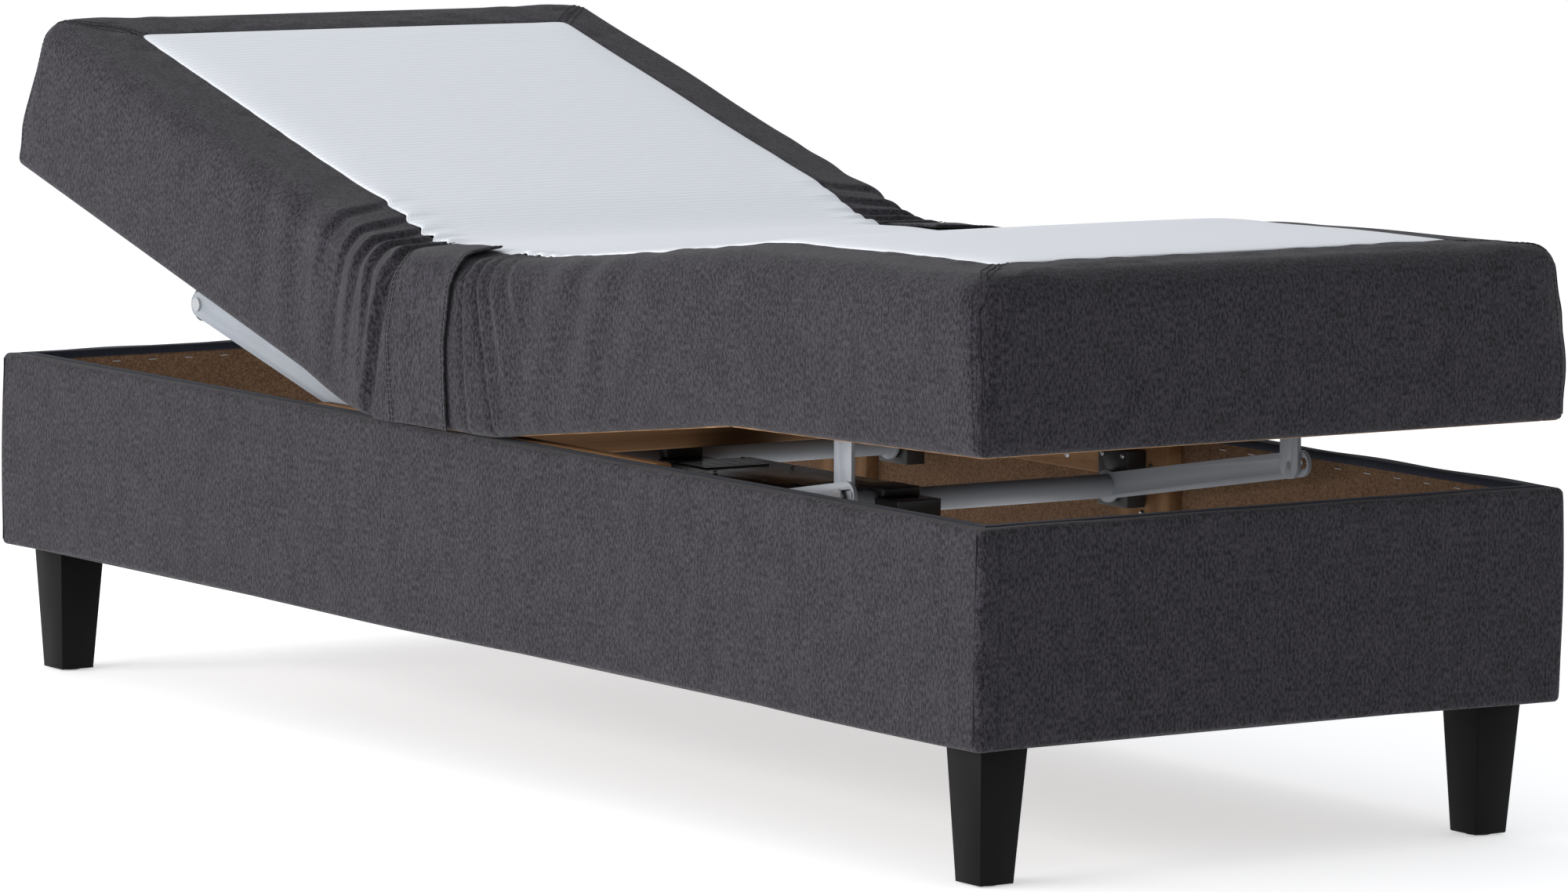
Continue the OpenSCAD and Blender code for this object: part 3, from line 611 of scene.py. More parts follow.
mattress = {
    "halfWidth": seatHigh.x,
    "halfLength": boxHigh.y,
    "low": seatLow.z + 0.0005,
    "high": seatHigh.z,
    "corner": 0.032,                 # radius of the upright corners at the top
    "hemCorner": 0.007,              # and at the hem
    "topEdge": 0.028,
    "hem": 0.006,
    "border": 0.088,                 # cloth border round the knit
    "sideBulge": 0.004,
    "crown": 0.004,
    "sunk": 0.005,                   # how far the border's inner part lies under the knit
    "knitCorner": 0.014,
    "knitEdge": 0.004,
    "knitThick": 0.0035,
    "knitHem": 0.006,
    "pillow": 0.0015,                # how far the knit's middle swells
    "lift": 0.0012,
    "square": 0.045,                 # the corners are sharp up to here over the hem
    "round": 0.030,                  # and fully round this far under the top
    "seamDip": (0.004, 0.0012),      # width and depth of the mitre's groove
    "seamRidge": (0.008, 0.005, 0.0006),
    "armLane": {"barHalf": 0.0025, "half": 0.024, "ramp": 0.010, "middle": 0.235, "reach": 0.115,
                "slope": 0.040, "deep": 0.024},
    "puff": 0.0016,                  # the most that the simulated fill may push the cloth out
}
stops = (0.0, 0.10, 0.195, 0.283)    # round the side: hem, middle, top edge, knit
folds = [  # where each fold crosses the stops, its depth at them, its width, the side that lies on top
    ((0.182, 0.163, 0.136, 0.172), (0.008, 0.010, 0.011, 0.007), 0.030, 1),
    ((0.192, 0.186, 0.190, 0.214), (0.000, 0.004, 0.009, 0.006), 0.016, 1),
    ((0.225, 0.232, 0.226, 0.250), (0.000, 0.003, 0.008, 0.005), 0.018, 1),
    ((0.262, 0.270, 0.268, 0.292), (0.000, 0.002, 0.006, 0.004), 0.022, 1),
    ((0.315, 0.320, 0.316, 0.338), (0.000, 0.001, 0.004, 0.003), 0.026, 1),
    ((-0.042, -0.036, -0.030, 0.000), (0.006, 0.007, 0.009, 0.006), 0.028, -1),
    ((-0.098, -0.086, -0.062, -0.030), (0.011, 0.010, 0.008, 0.005), 0.036, -1),
    ((-0.128, -0.118, -0.096, -0.062), (0.000, 0.003, 0.007, 0.004), 0.022, -1),
    ((-0.170, -0.160, -0.134, -0.098), (0.000, 0.001, 0.005, 0.003), 0.030, -1),
]
foldEdge = {"rise": 0.006, "gap": 0.009, "gapWidth": 0.006, "gapDepth": 0.55}
slack = {  # lean, pitch, middle, drift of the middle up the side, reach, depth
    "thigh": (0.42, 0.092, -0.23, 0.3, 0.10, 0.0028),
    "back": (-0.30, 0.085, 0.36, 0.0, 0.12, 0.0022),
}


def foldPush(y, s):  # how far the gathered cloth stands out
    push = np.zeros_like(y)
    for line, depths, width, side in folds:
        away = (y - np.interp(s, stops, line)) * side
        over = softStep((away + foldEdge["rise"] / 2) / foldEdge["rise"])
        over = over * np.exp(-np.clip(away, 0, None) / width)
        gap = hump(away + foldEdge["gap"], foldEdge["gapWidth"])
        push += np.interp(s, stops, depths) * (over - foldEdge["gapDepth"] * gap)
    return push


def tension(y, s):  # slack diagonals beside the folds
    up = s / stops[2]
    waves = sum(np.sin((y + lean * s) * 2 * math.pi / pitch) * hump(y - middle + drift * s, reach) * depth
                for lean, pitch, middle, drift, reach, depth in slack.values())
    slow = np.sin(y * 17.0 + 1.3) * np.sin(s * 21.0 + y * 5.0) * 0.0010
    return waves * np.clip(up * (1.25 - up) * 3.2, 0.15, 1.0) + slow


def roundPad(co, size, low, high, corner, topEdge, hem):
    plan = co[:, :2]
    kept = np.clip(plan, -(np.array(size) - corner), np.array(size) - corner)
    out = plan - kept
    reach = np.abs(out).max(1)
    length = np.hypot(out[:, 0], out[:, 1])
    outward = np.where(length[:, None] > 0, out / np.maximum(length, 1e-9)[:, None], 0)
    inset = np.where(length > 0, corner - reach, corner)
    plan = kept + outward * reach[:, None]
    z = co[:, 2].copy()
    moved = inset.copy()
    for radius, depth, sign in ((topEdge, high - z, -1), (hem, z - low, 1)):
        a, b = np.clip(radius - inset, 0, None), np.clip(radius - depth, 0, None)
        scale = np.where((a > 0) & (b > 0), np.maximum(a, b) / np.maximum(np.hypot(a, b), 1e-9), 1)
        moved += a * (1 - scale)
        z += sign * b * (1 - scale)
    plan = plan - outward * (moved - inset)[:, None]
    return np.column_stack([plan, z]), outward, inset


fill = {  # of the cloth simulation that swells the cover
    "quality": 5,
    "mass": 0.3,
    "use_pressure": True,
    "uniform_pressure_force": 4.0,
    "tension_stiffness": 12,
    "compression_stiffness": 8,
    "bending_stiffness": 0.6,
    "shrink_min": -0.02,
}
lastFrame = 20


def puff(obj, held, most):
    work = addObject(obj.name + "Puffed", obj.data.copy())
    group = work.vertex_groups.new(name="held")
    group.add([int(n) for n in np.nonzero(held)[0]], 1.0, "REPLACE")
    start = placesOf(work.data)
    cloth = work.modifiers.new("puff", "CLOTH")
    cloth.settings.vertex_group_mass = "held"
    for label, value in fill.items():
        setattr(cloth.settings, label, value)
    cloth.settings.effector_weights.gravity = 0
    cloth.collision_settings.use_collision = False
    cloth.collision_settings.use_self_collision = False
    cloth.point_cache.frame_start, cloth.point_cache.frame_end = 1, lastFrame
    scene = bpy.context.scene
    for number in range(1, lastFrame + 1):
        scene.frame_set(number)
    graph = bpy.context.evaluated_depsgraph_get()
    moved = placesOf(work.evaluated_get(graph).data) - start
    scene.frame_set(1)
    length = np.linalg.norm(moved, axis=1)
    moved *= np.minimum(1, most / np.maximum(length, 1e-9))[:, None]
    moved[held] = 0
    bpy.data.objects.remove(work)
    setPlaces(obj.data, start + moved)


def subdivideAndBend(obj):
    modifier = obj.modifiers.new("finer", "SUBSURF")
    modifier.levels = modifier.render_levels = 1
    settled(obj)
    setPlaces(obj.data, bendMattress(placesOf(obj.data)))


def cutPieces(obj, names, finish):
    mesh = obj.data
    co, normals, cloth = placesOf(mesh), placesOf(mesh, "normal"), clothOf(mesh)
    starts, kinds = valuesOf(mesh.polygons, "loop_start"), valuesOf(mesh.polygons, "material_index")
    faces = valuesOf(mesh.loops, "vertex_index")[starts[:, None] + np.arange(4)]
    piece = lengthShare(cloth[faces][:, :, 1].mean(1))
    made = []
    for number, name in enumerate(names):
        chosen = faces[piece == number]
        used, local = np.unique(chosen, return_inverse=True)
        part = meshFrom(name, co[used], local.reshape(chosen.shape))
        part.polygons.foreach_set("material_index", kinds[piece == number])
        markCloth(part, cloth[used])
        shape = bmesh.new()
        shape.from_mesh(part)
        open_ = [e for e in shape.edges if e.is_boundary]
        bmesh.ops.holes_fill(shape, edges=open_, sides=0)
        shape.to_mesh(part)
        shape.free()
        part.normals_split_custom_set_from_vertices(normals[used])
        new = paint(addObject(name, part), *finish)
        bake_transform(new)
        made.append(new)
    bpy.data.objects.remove(obj)
    return made


def mattressLines():
    m = mattress
    inner = m["halfLength"] - m["border"]
    ys = gridLines([-m["halfLength"], -inner, -0.30, -0.18, 0.055, 0.34, inner, m["halfLength"]],
                   [0.0065, 0.0125, 0.012, 0.005, 0.005, 0.0125, 0.0065])
    innerX = m["halfWidth"] - m["border"]
    xs = gridLines([-m["halfWidth"], -innerX, innerX, m["halfWidth"]], [0.0068, 0.0155, 0.0068])
    return xs, ys


def topCrown(x, y):
    m = mattress
    return m["crown"] * (1 - (x / m["halfWidth"]) ** 4) * (1 - (y / m["halfLength"]) ** 8)


def makeCover():
    m = mattress
    half, low, tall = (m["halfWidth"], m["halfLength"]), m["low"], m["high"] - m["low"]
    flat, faces = boxGrid(*mattressLines(), spread(low, m["high"], 0.0098))
    x, y, z = flat.T
    co, outward, inset = roundPad(flat, half, low, m["high"], m["corner"], m["topEdge"], m["hem"])
    sharp, _, _ = roundPad(flat, half, low, m["high"], m["hemCorner"], m["hemCorner"], m["hem"])
    high = softStep((z - low - m["square"]) / (tall - m["square"] - m["round"]))
    co[:, :2] = sharp[:, :2] * (1 - high)[:, None] + co[:, :2] * high[:, None]
    obj = addObject("cover", meshFrom("cover", co, faces))
    normals = placesOf(obj.data, "normal")
    up = np.clip((z - low) / tall, 0, 1)
    nearOutline = np.clip(1 - inset / m["corner"], 0, 1)
    co[:, :2] += outward * (m["sideBulge"] * np.sin(math.pi * up) * nearOutline)[:, None]
    top = z > m["high"] - 1e-6
    co[:, 2] += np.where(top, topCrown(x, y), 0)
    fromX, fromY = half[0] - np.abs(x), half[1] - np.abs(y)
    s = (z - low) + fromX
    outside, edge = normals[:, 2] > -0.5, stops[3] + 0.012
    onLongSide = outside & (s < edge) & (fromY > 0.03)
    fades = softStep((edge - s) / 0.02)
    push = (foldPush(y, s) + tension(y, s)) * fades * softStep(s / 0.012 + 0.4)
    co += normals * np.where(onLongSide, push, 0)[:, None]
    inX, inY = softStep((fromX - m["border"]) / 0.008), softStep((fromY - m["border"]) / 0.008)
    co[:, 2] -= np.where(top, m["sunk"] * inX * inY, 0)
    onMitre = outside & (np.maximum(fromX, fromY) < m["border"])
    width, depth = m["seamDip"]
    co -= normals * (depth * hump(fromX - fromY, width) * onMitre)[:, None]
    away, width, depth = m["seamRidge"]
    co += normals * (depth * hump(np.abs(fromX - fromY) - away, width) * onMitre)[:, None]
    arm = m["armLane"]  # the lining is tucked up where the back's lift arms pass
    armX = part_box("back_lift_arms")[1].x - arm["barHalf"]
    lane = softStep((arm["half"] - np.abs(np.abs(x) - armX)) / arm["ramp"])
    lane *= softStep((arm["reach"] - np.abs(y - arm["middle"])) / arm["slope"])
    co[:, 2] += np.where(z < low + 1e-6, arm["deep"] * lane, 0)
    setPlaces(obj.data, co)
    markCloth(obj.data, flat)
    held = ~outside | (inX * inY > 0.5) | (np.abs(s - stops[3]) < 0.004)
    puff(obj, held, m["puff"])
    subdivideAndBend(obj)
    under = [p.normal.z < -0.8 and abs(p.center.x) < half[0] - 0.03 for p in obj.data.polygons]
    obj.data.polygons.foreach_set("material_index", np.array(under, int))
    return obj


def makeKnit():
    m = mattress
    half = (m["halfWidth"] - m["border"], m["halfLength"] - m["border"])
    low, hem = m["high"] - m["knitThick"], m["knitHem"]
    grid = []
    for lines, limit in zip(mattressLines(), half):
        kept = [line for line in lines if abs(line) <= limit + 1e-6]
        grid.append(kept[:1] + [kept[0] + hem] + kept[1:-1] + [kept[-1] - hem] + kept[-1:])
    flat, faces = boxGrid(*grid, [low, m["high"]])
    co, _, _ = roundPad(flat, half, low, m["high"], m["knitCorner"], m["knitEdge"] * 0.8, 0.0005)
    x, y, z = flat.T
    s = stops[3] + (half[0] - np.abs(x))
    drop = softStep((stops[3] + 0.05 - s) / 0.05)
    gathered = foldPush(y, np.full_like(s, stops[3]))
    push = gathered * drop + tension(y, s) * drop
    top = z > m["high"] - 1e-6
    pillow = m["pillow"] * np.prod(softStep((np.array(half) - np.abs(flat[:, :2])) / 0.03), axis=1)
    co[:, 2] += topCrown(x, y) + push + m["lift"] + np.where(top, pillow, 0)
    co[:, 0] -= np.sign(x) * np.clip(gathered, 0, 1) * 1.1 * drop
    obj = addObject("knit", meshFrom("knit", co, faces))
    markCloth(obj.data, flat)
    subdivideAndBend(obj)
    return obj


cover = makeCover()
print("mattress cover shaped")
coverTree = BVHTree.FromPolygons([v.co.copy() for v in cover.data.vertices],
                                 [tuple(p.vertices) for p in cover.data.polygons])
coverPieces = cutPieces(cover, ("headCover", "lapCover", "footCover"),
                        (materials["sideCloth"], materials["lining"]))
knitPieces = cutPieces(makeKnit(), ("headKnit", "lapKnit", "footKnit"), (materials["knit"],))
for piece, nodes in zip(coverPieces, (
        ("back_cover", "back_core", "seat_cover", "seat_core", "back_fold"),
        ("thigh_cover", "thigh_core", "lap_fold"), ("calf_cover", "calf_core", "knee_fold"))):
    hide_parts(*nodes)
for piece, nodes in zip(knitPieces, (("back_top", "seat_top"), ("thigh_top",), ("calf_top",))):
    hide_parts(*nodes)
print("mattress cut into its pieces")


boxCloth = {
    "corner": 0.008,
    "topEdge": 0.008,
    "bottomEdge": 0.006,
    "belly": 0.0025,
    "hemWave": 0.0025,
    "cloth": 0.0015,
    "skin": 0.005,                   # the padding under the cloth
    "tuck": 0.030,                   # how far the cloth turns in over the board's edges
    "step": 0.010,
}


def boxRing(inset):  # round the box, a rounded rectangle at this inset
    b = boxCloth
    x, y = boxHigh.x - inset, boxHigh.y - inset
    r = max(b["corner"] - inset, 0.0006)
    countX, countY = round(2 * boxHigh.x / b["step"]), round(2 * boxHigh.y / b["step"])
    quarters = ((1, 1, 0, countX), (-1, 1, 90, countY), (-1, -1, 180, countX), (1, -1, 270, countY))
    ring, outs = [], []
    for sx, sy, start, count in quarters:
        turn = [math.radians(v) for v in spread(start, start + 90, 15)]
        ring += [(sx * (x - r) + r * math.cos(v), sy * (y - r) + r * math.sin(v)) for v in turn]
        outs += [(math.cos(v), math.sin(v)) for v in turn]
        nx, ny = ((-1, 1), (-1, -1), (1, -1), (1, 1))[start // 90]
        ahead = math.radians(start + 90)
        goal = (nx * (x - r) + r * math.cos(ahead), ny * (y - r) + r * math.sin(ahead))
        for n in range(1, count):
            t = n / count
            ring.append(((1 - t) * ring[-n][0] + t * goal[0], (1 - t) * ring[-n][1] + t * goal[1]))
            outs.append((math.cos(ahead), math.sin(ahead)))
    return np.array(ring), np.array(outs)


def swept(name, profile, shape=None):  # a closed profile of (inset, height) run round the box
    rows = []
    for number, (inset, z) in enumerate(profile):
        ring, outs = boxRing(inset)
        rows.append(np.column_stack([ring, np.full(len(ring), z)]))
    flats = np.vstack(rows)
    if shape:
        rows = [row + shape(number, outs) for number, row in enumerate(rows)]
    across, count = len(rows[0]), len(profile)
    faces = []
    for r in range(count):
        for c in range(across):
            d, n = (c + 1) % across, (r + 1) % count
            faces.append((r * across + c, n * across + c, n * across + d, r * across + d))
    mesh = meshFrom(name, np.vstack(rows), faces)
    markCloth(mesh, flats)
    return addObject(name, mesh)


def boxProfile():  # inset from the outer face, height, and share of the belly
    b = boxCloth
    low, high = boxLow.z, boxHigh.z
    thin, skin = b["cloth"], b["skin"]
    line = [(skin, high - thin, 0), (b["tuck"], high - thin, 0), (b["tuck"], high, 0)]
    line += [(i, high, 0) for i in (0.024, 0.018, 0.013)]
    for a in spread(0, 90, 18):
        c, s = math.cos(math.radians(a)), math.sin(math.radians(a))
        line.append((b["topEdge"] * (1 - s), high - b["topEdge"] * (1 - c), 0))
    line += [(0, z, math.sin(math.pi * (high - z) / (high - low))) for z in
             reversed(spread(low + b["bottomEdge"] + 0.006, high - b["topEdge"] - 0.006, 0.012))]
    for a in spread(0, 90, 22.5):
        c, s = math.cos(math.radians(a)), math.sin(math.radians(a))
        line.append((b["bottomEdge"] * (1 - c), low + b["bottomEdge"] * (1 - s), 0))
    line += [(b["tuck"], low, 0), (b["tuck"], low + thin, 0), (skin, low + thin, 0)]
    line += [(skin, z, 0) for z in spread(low + 0.02, high - 0.02, 0.06)]
    return line


def makeBoxCover():
    b = boxCloth
    line = boxProfile()
    ring, _ = boxRing(0)
    run = np.concatenate([[0], np.cumsum(np.linalg.norm(np.diff(ring, axis=0), axis=1))])
    waves = np.sin(run * 4.1) * 0.5 + np.sin(run * 9.7 + 2) * 0.3 + np.sin(run * 23.0 + 1) * 0.2
    low, high = boxLow.z, boxHigh.z

    def slack(number, outs):
        inset, z, belly = line[number]
        hem = np.clip(1 - (z - low) / 0.05, 0, 1) * (inset < 0.0049)
        out = belly * b["belly"] * (1 + 0.5 * waves) + hem * b["hemWave"] * waves
        rise = hem * b["hemWave"] * 0.8 * np.sin(run * 6.3 + 0.7)
        if inset < 0.015 and z > high - 0.02:
            rise = rise + 0.0007 * np.sin(run * 31.0)
        return np.column_stack([outs * np.reshape(out, (-1, 1)), rise + 0 * run])
    obj = paint(swept("boxCover", [p[:2] for p in line], slack), materials["sideCloth"])
    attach(obj, "base")
    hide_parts("base_cover")
    return obj


def makeRimTape():
    b = boxCloth
    top, tuck = boxHigh.z, b["tuck"]
    profile = [(0.017, top + 0.0001), (0.0175, top + 0.0009), (tuck, top + 0.0010),
               (tuck + 0.0012, top + 0.0002), (tuck + 0.0014, top - 0.008),
               (tuck + 0.0002, top - 0.0085), (tuck - 0.0005, top - 0.001)]
    obj = paint(swept("rimTape", profile), materials["rimTape"])
    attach(obj, "base")


makeBoxCover()
makeRimTape()
print("box upholstered")


def startTree(name, inputs):
    tree = bpy.data.node_groups.new(name, "GeometryNodeTree")
    addSockets(tree, "INPUT", {"Geometry": "Geometry", **inputs, "Material": "Material"})
    addSockets(tree, "OUTPUT", {"Geometry": "Geometry"})
    return tree, tree.nodes.new("NodeGroupInput").outputs


def endTree(tree, geometry, material):
    real = tree.nodes.new("GeometryNodeRealizeInstances")
    finish = tree.nodes.new("GeometryNodeSetMaterial")
    tree.links.new(geometry, real.inputs["Geometry"])
    tree.links.new(real.outputs["Geometry"], finish.inputs["Geometry"])
    tree.links.new(material, finish.inputs["Material"])
    tree.links.new(finish.outputs["Geometry"], tree.nodes.new("NodeGroupOutput").inputs[0])
    return tree


def treeNode(tree, kind, links=(), **settings):
    node = tree.nodes.new("GeometryNode" + kind)
    for label, value in settings.items():
        setattr(node, label, value)
    for label, value in dict(links).items():
        joined(tree, value, node.inputs[label])
    return node.outputs


def makeStitchTree():  # short threads laid along a line
    tree, given = startTree("stitchRow", {"Spacing": "Float", "Length": "Float", "Radius": "Float"})
    thread = treeNode(tree, "MeshCylinder",
                      {"Vertices": 6, "Radius": given["Radius"], "Depth": given["Length"]})
    places = treeNode(tree, "CurveToPoints",
                      {"Curve": given["Geometry"], "Length": given["Spacing"]}, mode="LENGTH")
    row = treeNode(tree, "InstanceOnPoints", {"Points": places["Points"], "Instance": thread["Mesh"],
                                              "Rotation": places["Rotation"]})
    return endTree(tree, row["Instances"], given["Material"])


def makeSeamTree():  # a thin cord of folded cloth along a line
    tree, given = startTree("seamLine", {"Radius": "Float"})
    ring = treeNode(tree, "CurvePrimitiveCircle", {"Resolution": 6, "Radius": given["Radius"]})
    tube = treeNode(tree, "CurveToMesh", {"Curve": given["Geometry"], "Profile Curve": ring["Curve"],
                                          "Fill Caps": True})
    return endTree(tree, tube["Mesh"], given["Material"])


def makeScrewTree():  # pan heads that face the way each point says
    tree, given = startTree("screwHeads", {"Radius": "Float", "Height": "Float"})
    facing = treeNode(tree, "InputNamedAttribute", {"Name": "facing"}, data_type="FLOAT_VECTOR")
    turn = tree.nodes.new("FunctionNodeAlignRotationToVector")
    turn.axis = "Z"
    tree.links.new(facing["Attribute"], turn.inputs["Vector"])
    half = tree.nodes.new("ShaderNodeMath")
    half.operation = "MULTIPLY"
    half.inputs[1].default_value = 0.62
    tree.links.new(given["Radius"], half.inputs[0])
    head = treeNode(tree, "MeshCone", {"Vertices": 16, "Side Segments": 1, "Radius Top": half.outputs[0],
                                       "Radius Bottom": given["Radius"], "Depth": given["Height"]})
    row = treeNode(tree, "InstanceOnPoints", {"Points": given["Geometry"], "Instance": head["Mesh"],
                                              "Rotation": turn.outputs["Rotation"]})
    return endTree(tree, row["Instances"], given["Material"])


def makeRibTree():  # a row of bars
    tree, given = startTree("ribRow", {"Count": "Int", "Start": "Vector", "Step": "Vector", "Size": "Vector"})
    bar = treeNode(tree, "MeshCube", {"Size": given["Size"]})
    line = treeNode(tree, "MeshLine", {"Count": given["Count"], "Start Location": given["Start"],
                                       "Offset": given["Step"]}, mode="OFFSET")
    row = treeNode(tree, "InstanceOnPoints", {"Points": line["Mesh"], "Instance": bar["Mesh"]})
    return endTree(tree, row["Instances"], given["Material"])


trees = {"stitch": makeStitchTree(), "seam": makeSeamTree(), "screw": makeScrewTree(), "rib": makeRibTree()}


def grown(name, data, tree, finish, body, slot, **values):
    obj = addObject(name, data)
    modifier = obj.modifiers.new(name, "NODES")
    modifier.node_group = trees[tree]
    values["Material"] = materials[finish]
    for item in trees[tree].interface.items_tree:
        if item.in_out == "INPUT" and item.name in values:
            modifier[item.identifier] = values[item.name]
    obj = settled(obj)
    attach(obj, body)
    return obj


def linesOf(name, paths):
    curve = bpy.data.curves.new(name, "CURVE")
    curve.dimensions = "3D"
    for path in paths:
        spline = curve.splines.new("POLY")
        spline.points.add(len(path) - 1)
        for point, place in zip(spline.points, path):
            point.co = (*place, 1)
    return curve


seams = {
    "beside": 0.0075,                # from the seam to each row of topstitching
    "spacing": 0.0062,
    "length": 0.0042,
    "thread": 0.00050,
    "fold": 0.0008,
    "stand": 0.0003,                 # out from the cloth
    "reach": 0.02,                   # how far outside the cloth each seam is first drawn
    "boxBeside": 0.024,
}


def cornerPath(sx, sy, aside):  # up a corner of the mattress and along the mitre to the knit
    m = mattress
    w, l, away = m["halfWidth"], m["halfLength"], abs(aside)
    guide = []
    out = seams["reach"]
    for z in spread(m["low"] + 0.004, m["high"] - 0.012, 0.008):
        guide.append((w - away if aside < 0 else w + out, l - away if aside > 0 else l + out, z))
    for t in spread(0.06, 1, 0.05):
        x, y = w - m["border"] * t, l - m["border"] * t
        slant = 1.4 * away  # the rows lie this far from the mitre, measured along a side
        guide.append((x - slant if aside < 0 else x, y - slant if aside > 0 else y, m["high"] + 0.012))
    flat = np.array([(sx * x, sy * y, z) for x, y, z in guide])
    path = []
    for place in bendMattress(flat):
        at, normal, _, _ = coverTree.find_nearest(Vector(place))
        path.append(at + normal * seams["stand"])
    return path


def boxSeam(sx, sy, aside):
    x, y = boxHigh.x, boxHigh.y
    place = (x - aside, y + 0.0016) if aside else (x + 0.0012, y - boxCloth["corner"])
    rise = spread(boxLow.z + 0.006, boxHigh.z - 0.006, 0.01)
    return [Vector((sx * place[0], sy * place[1], z)) for z in rise]


def sewn(name, middle, beside, body):  # a folded seam, and the rows of stitches beside it
    grown(name + "Seams", linesOf(name + "Seams", middle), "seam", "seamShadow", body, "charcoal_fabric",
          Radius=seams["fold"])
    stitched(name + "Stitches", beside, body)


def stitched(name, paths, body):
    grown(name, linesOf(name, paths), "stitch", "thread", body, "charcoal_fabric",
          Spacing=seams["spacing"], Length=seams["length"], Radius=seams["thread"])


for end, sy, body in (("head", 1, "back"), ("foot", -1, "calf")):
    middle = [cornerPath(sx, sy, 0) for sx in (-1, 1)]
    beside = [cornerPath(sx, sy, side * seams["beside"]) for sx in (-1, 1) for side in (-1, 1)]
    sewn(end + "Corner", middle, beside, body)
boxCorners = [(sx, sy) for sx in (-1, 1) for sy in (-1, 1)]
sewn("box", [boxSeam(sx, sy, 0) for sx, sy in boxCorners],
     [boxSeam(sx, sy, seams["boxBeside"]) for sx, sy in boxCorners], "base")

staples = {"below": 0.015, "spacing": 0.052, "length": 0.011, "wire": 0.0006}
ring, _ = boxRing(boxCloth["tuck"] + 0.0002)
stapleLine = [Vector((x, y, boxHigh.z - staples["below"])) for x, y in ring]
grown("staples", linesOf("staples", [stapleLine + stapleLine[:1]]), "stitch", "zinc", "base", "zinc_steel",
      Spacing=staples["spacing"], Length=staples["length"], Radius=staples["wire"])


saddle = {
    "footEdge": (0.001, 0.003, -0.008, 0.038),
    "headEdge": (0.166, 0.148, 0.122, 0.158),
    "seam": (0.118, 0.128, 0.110, 0.142),
    "lift": 0.0050,
    "thick": 0.0030,
    "cut": (0.168, 0.290),           # the panel's flat size
    "cutArea": 0.0400,
    "step": 0.0016,                  # down from the double cloth to the single
    "curl": 0.0035,                  # of the free edge
    "wave": 0.0012,
    "rowGap": 0.004,                 # from the seam to each row of stitches
    "hemRow": 0.006,
}


def saddleLine(s):  # round the side, by the same measure as the folds: outward place and height, normal
    m = mattress
    tall, r, w = m["high"] - m["low"], m["topEdge"], m["halfWidth"]
    if s < tall - r:
        return w + m["sideBulge"] * math.sin(math.pi * s / tall), m["low"] + s, 1.0, 0.0
    if s < tall + r:
        a = (s - tall + r) / (2 * r) * math.pi / 2
        return w - r + r * math.cos(a), m["high"] - r + r * math.sin(a), math.cos(a), math.sin(a)
    return w + tall - s, m["high"] + topCrown(w + tall - s, 0.08), 0.0, 1.0


def saddlePoint(s, y, lift):
    x, z, nx, nz = saddleLine(s)
    return x + nx * lift, y, z + nz * lift


def makeSaddle(side, name):
    p = saddle
    rounds = spread(0.0, stops[3] + 0.004, 0.005)
    across = spread(0, 1, 0.03)
    points = []
    for s in rounds:
        foot, head, seam = (float(np.interp(s, stops, p[k])) for k in ("footEdge", "headEdge", "seam"))
        for t in across:
            y = foot + (head - foot) * t
            lift = p["lift"] + p["curl"] * math.exp(-t / 0.05)
            lift -= p["step"] * float(softStep((y - seam) / 0.004))
            lift += p["wave"] * math.sin(s * 26 + t * 5) * math.sin(t * math.pi)
            x, y, z = saddlePoint(s, y, lift - 0.5 * p["lift"] * math.exp(-(1 - t) / 0.06))
            points.append((side * x, y, z))
    n = len(across)
    faces = [(r * n + c, r * n + c + 1, (r + 1) * n + c + 1, (r + 1) * n + c)
             for r in range(len(rounds) - 1) for c in range(n - 1)]
    if side < 0:
        faces = [f[::-1] for f in faces]
    obj = addObject(name, meshFrom(name, points, faces))
    markCloth(obj.data, points)
    wall = obj.modifiers.new("wall", "SOLIDIFY")
    wall.thickness, wall.offset = p["thick"], -1
    settled(obj)
    subdivideAndBend(obj)
    paint(obj, materials["sideCloth"])
    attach(obj, "base")
    rows = []
    for line, aside, lift in (("seam", -p["rowGap"], 0.0005), ("seam", p["rowGap"], 0.0005 - p["step"]),
                              ("footEdge", p["hemRow"], p["curl"] * 0.62)):
        flat = [saddlePoint(s, float(np.interp(s, stops, p[line])) + aside, p["lift"] + lift)
                for s in spread(0.004, stops[3] - 0.004, 0.006)]
        rows.append([Vector(v) for v in bendMattress(np.array([(side * x, y, z) for x, y, z in flat]))])
    stitched(name + "Stitches", rows, "base")


for side, name in ((-1, "leftSaddle"), (1, "rightSaddle")):
    makeSaddle(side, name)
print("seams, stitches and saddles made")


def screwPoints(name, rows):  # rows of (place, direction faced)
    mesh = meshFrom(name, [place for place, _ in rows], [])
    layer = mesh.attributes.new("facing", "FLOAT_VECTOR", "POINT")
    layer.data.foreach_set("vector", np.array([facing for _, facing in rows], np.float32).ravel())
    return mesh


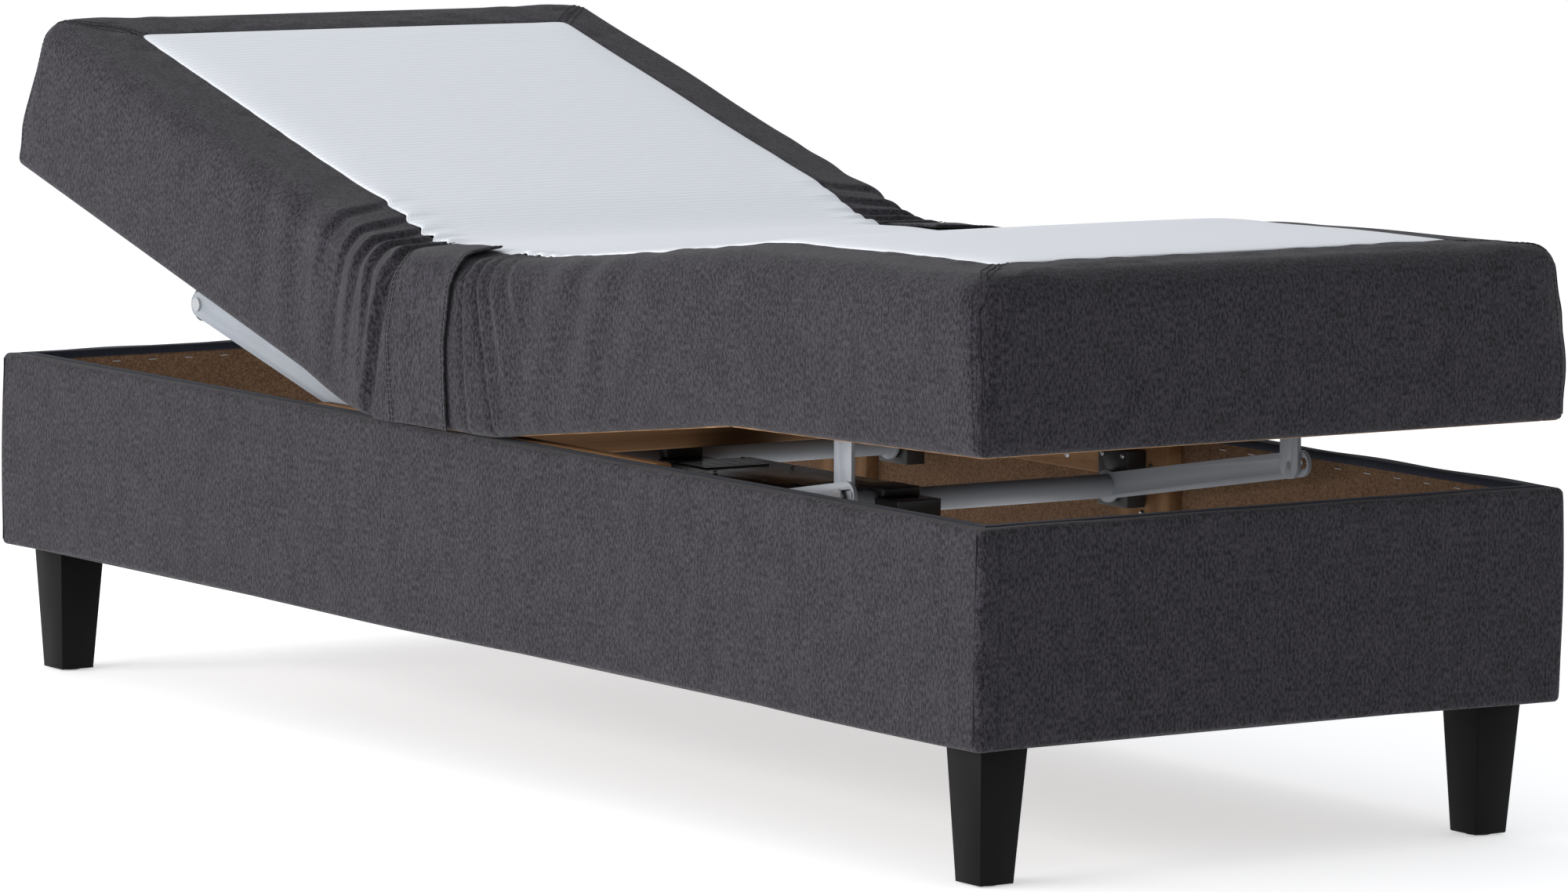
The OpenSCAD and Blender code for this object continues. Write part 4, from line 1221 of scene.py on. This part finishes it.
screws = {
    "boardHead": (0.0045, 0.0024),   # radius and height
    "shellHead": (0.0032, 0.0018),
    "spacing": 0.16,
    "lidSpacing": 0.09,
    "lidSides": 0.055,
    "lidEnds": 0.125,
    "bearer": 0.023,                 # from each part's outer face to the middle of the heads
    "post": 0.019,
    "block": 0.046,
    "bearing": 0.028,
    "bearingPair": 0.019,
}
vents = {"bars": 9, "step": 0.008, "size": (0.09, 0.0035, 0.0024), "footEnd": 0.118, "headEnd": 0.190}


def makeScrews():
    bearer, bearing, post, block, drive = (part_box(node) for node in (
        "bearers", "tube_bearings", "bearer_posts", "corner_blocks", "drive_upper_shell"))
    top = drive[1].z
    board, shell = [], []
    for sx in (-1, 1):
        inward = (-sx, 0, 0)
        for y in spread(bearer[0].y + 0.03, bearer[1].y - 0.03, screws["spacing"]):
            for z in (bearer[1].z - 0.018, bearer[0].z + 0.016):
                board.append(((sx * (bearer[1].x - screws["bearer"]), y, z), inward))
        for sy, end in ((-1, 0), (1, 1)):
            for z in (block[0].z + 0.04, block[1].z - 0.04):
                board.append(((sx * (block[1].x - screws["block"]), sy * (block[1].y - 0.022), z), inward))
            for z in (post[0].z + 0.03, post[1].z - 0.04):
                board.append(((sx * (post[1].x - screws["post"]), post[end].y - sy * 0.05, z), inward))
            for pair in (-1, 1):
                y = bearing[end].y - sy * 0.028 + pair * screws["bearingPair"]
                shell.append(((sx * (bearing[1].x - screws["bearing"]), y, bearing[1].z - 0.012), inward))
    for x in (-screws["lidSides"], screws["lidSides"]):
        for y in spread(drive[0].y + screws["lidEnds"], drive[1].y - screws["lidEnds"], screws["lidSpacing"]):
            shell.append(((x, y, top + 0.0008), (0, 0, 1)))
    for name, rows, head in (("boardScrews", board, "boardHead"), ("shellScrews", shell, "shellHead")):
        radius, height = screws[head]
        grown(name, screwPoints(name, rows), "screw", "zinc", "base", "zinc_steel",
              Radius=radius, Height=height)
    ends = {"footVents": drive[0].y + vents["footEnd"], "headVents": drive[1].y - vents["headEnd"]}
    for name, y in ends.items():
        grown(name, meshFrom(name, [(0, 0, 0)], []), "rib", "driveShell", "base", "black_plastic",
              Count=vents["bars"], Start=(0, y, top + 0.0006), Step=(0, vents["step"], 0), Size=vents["size"])


makeScrews()
print("screws and vents placed")
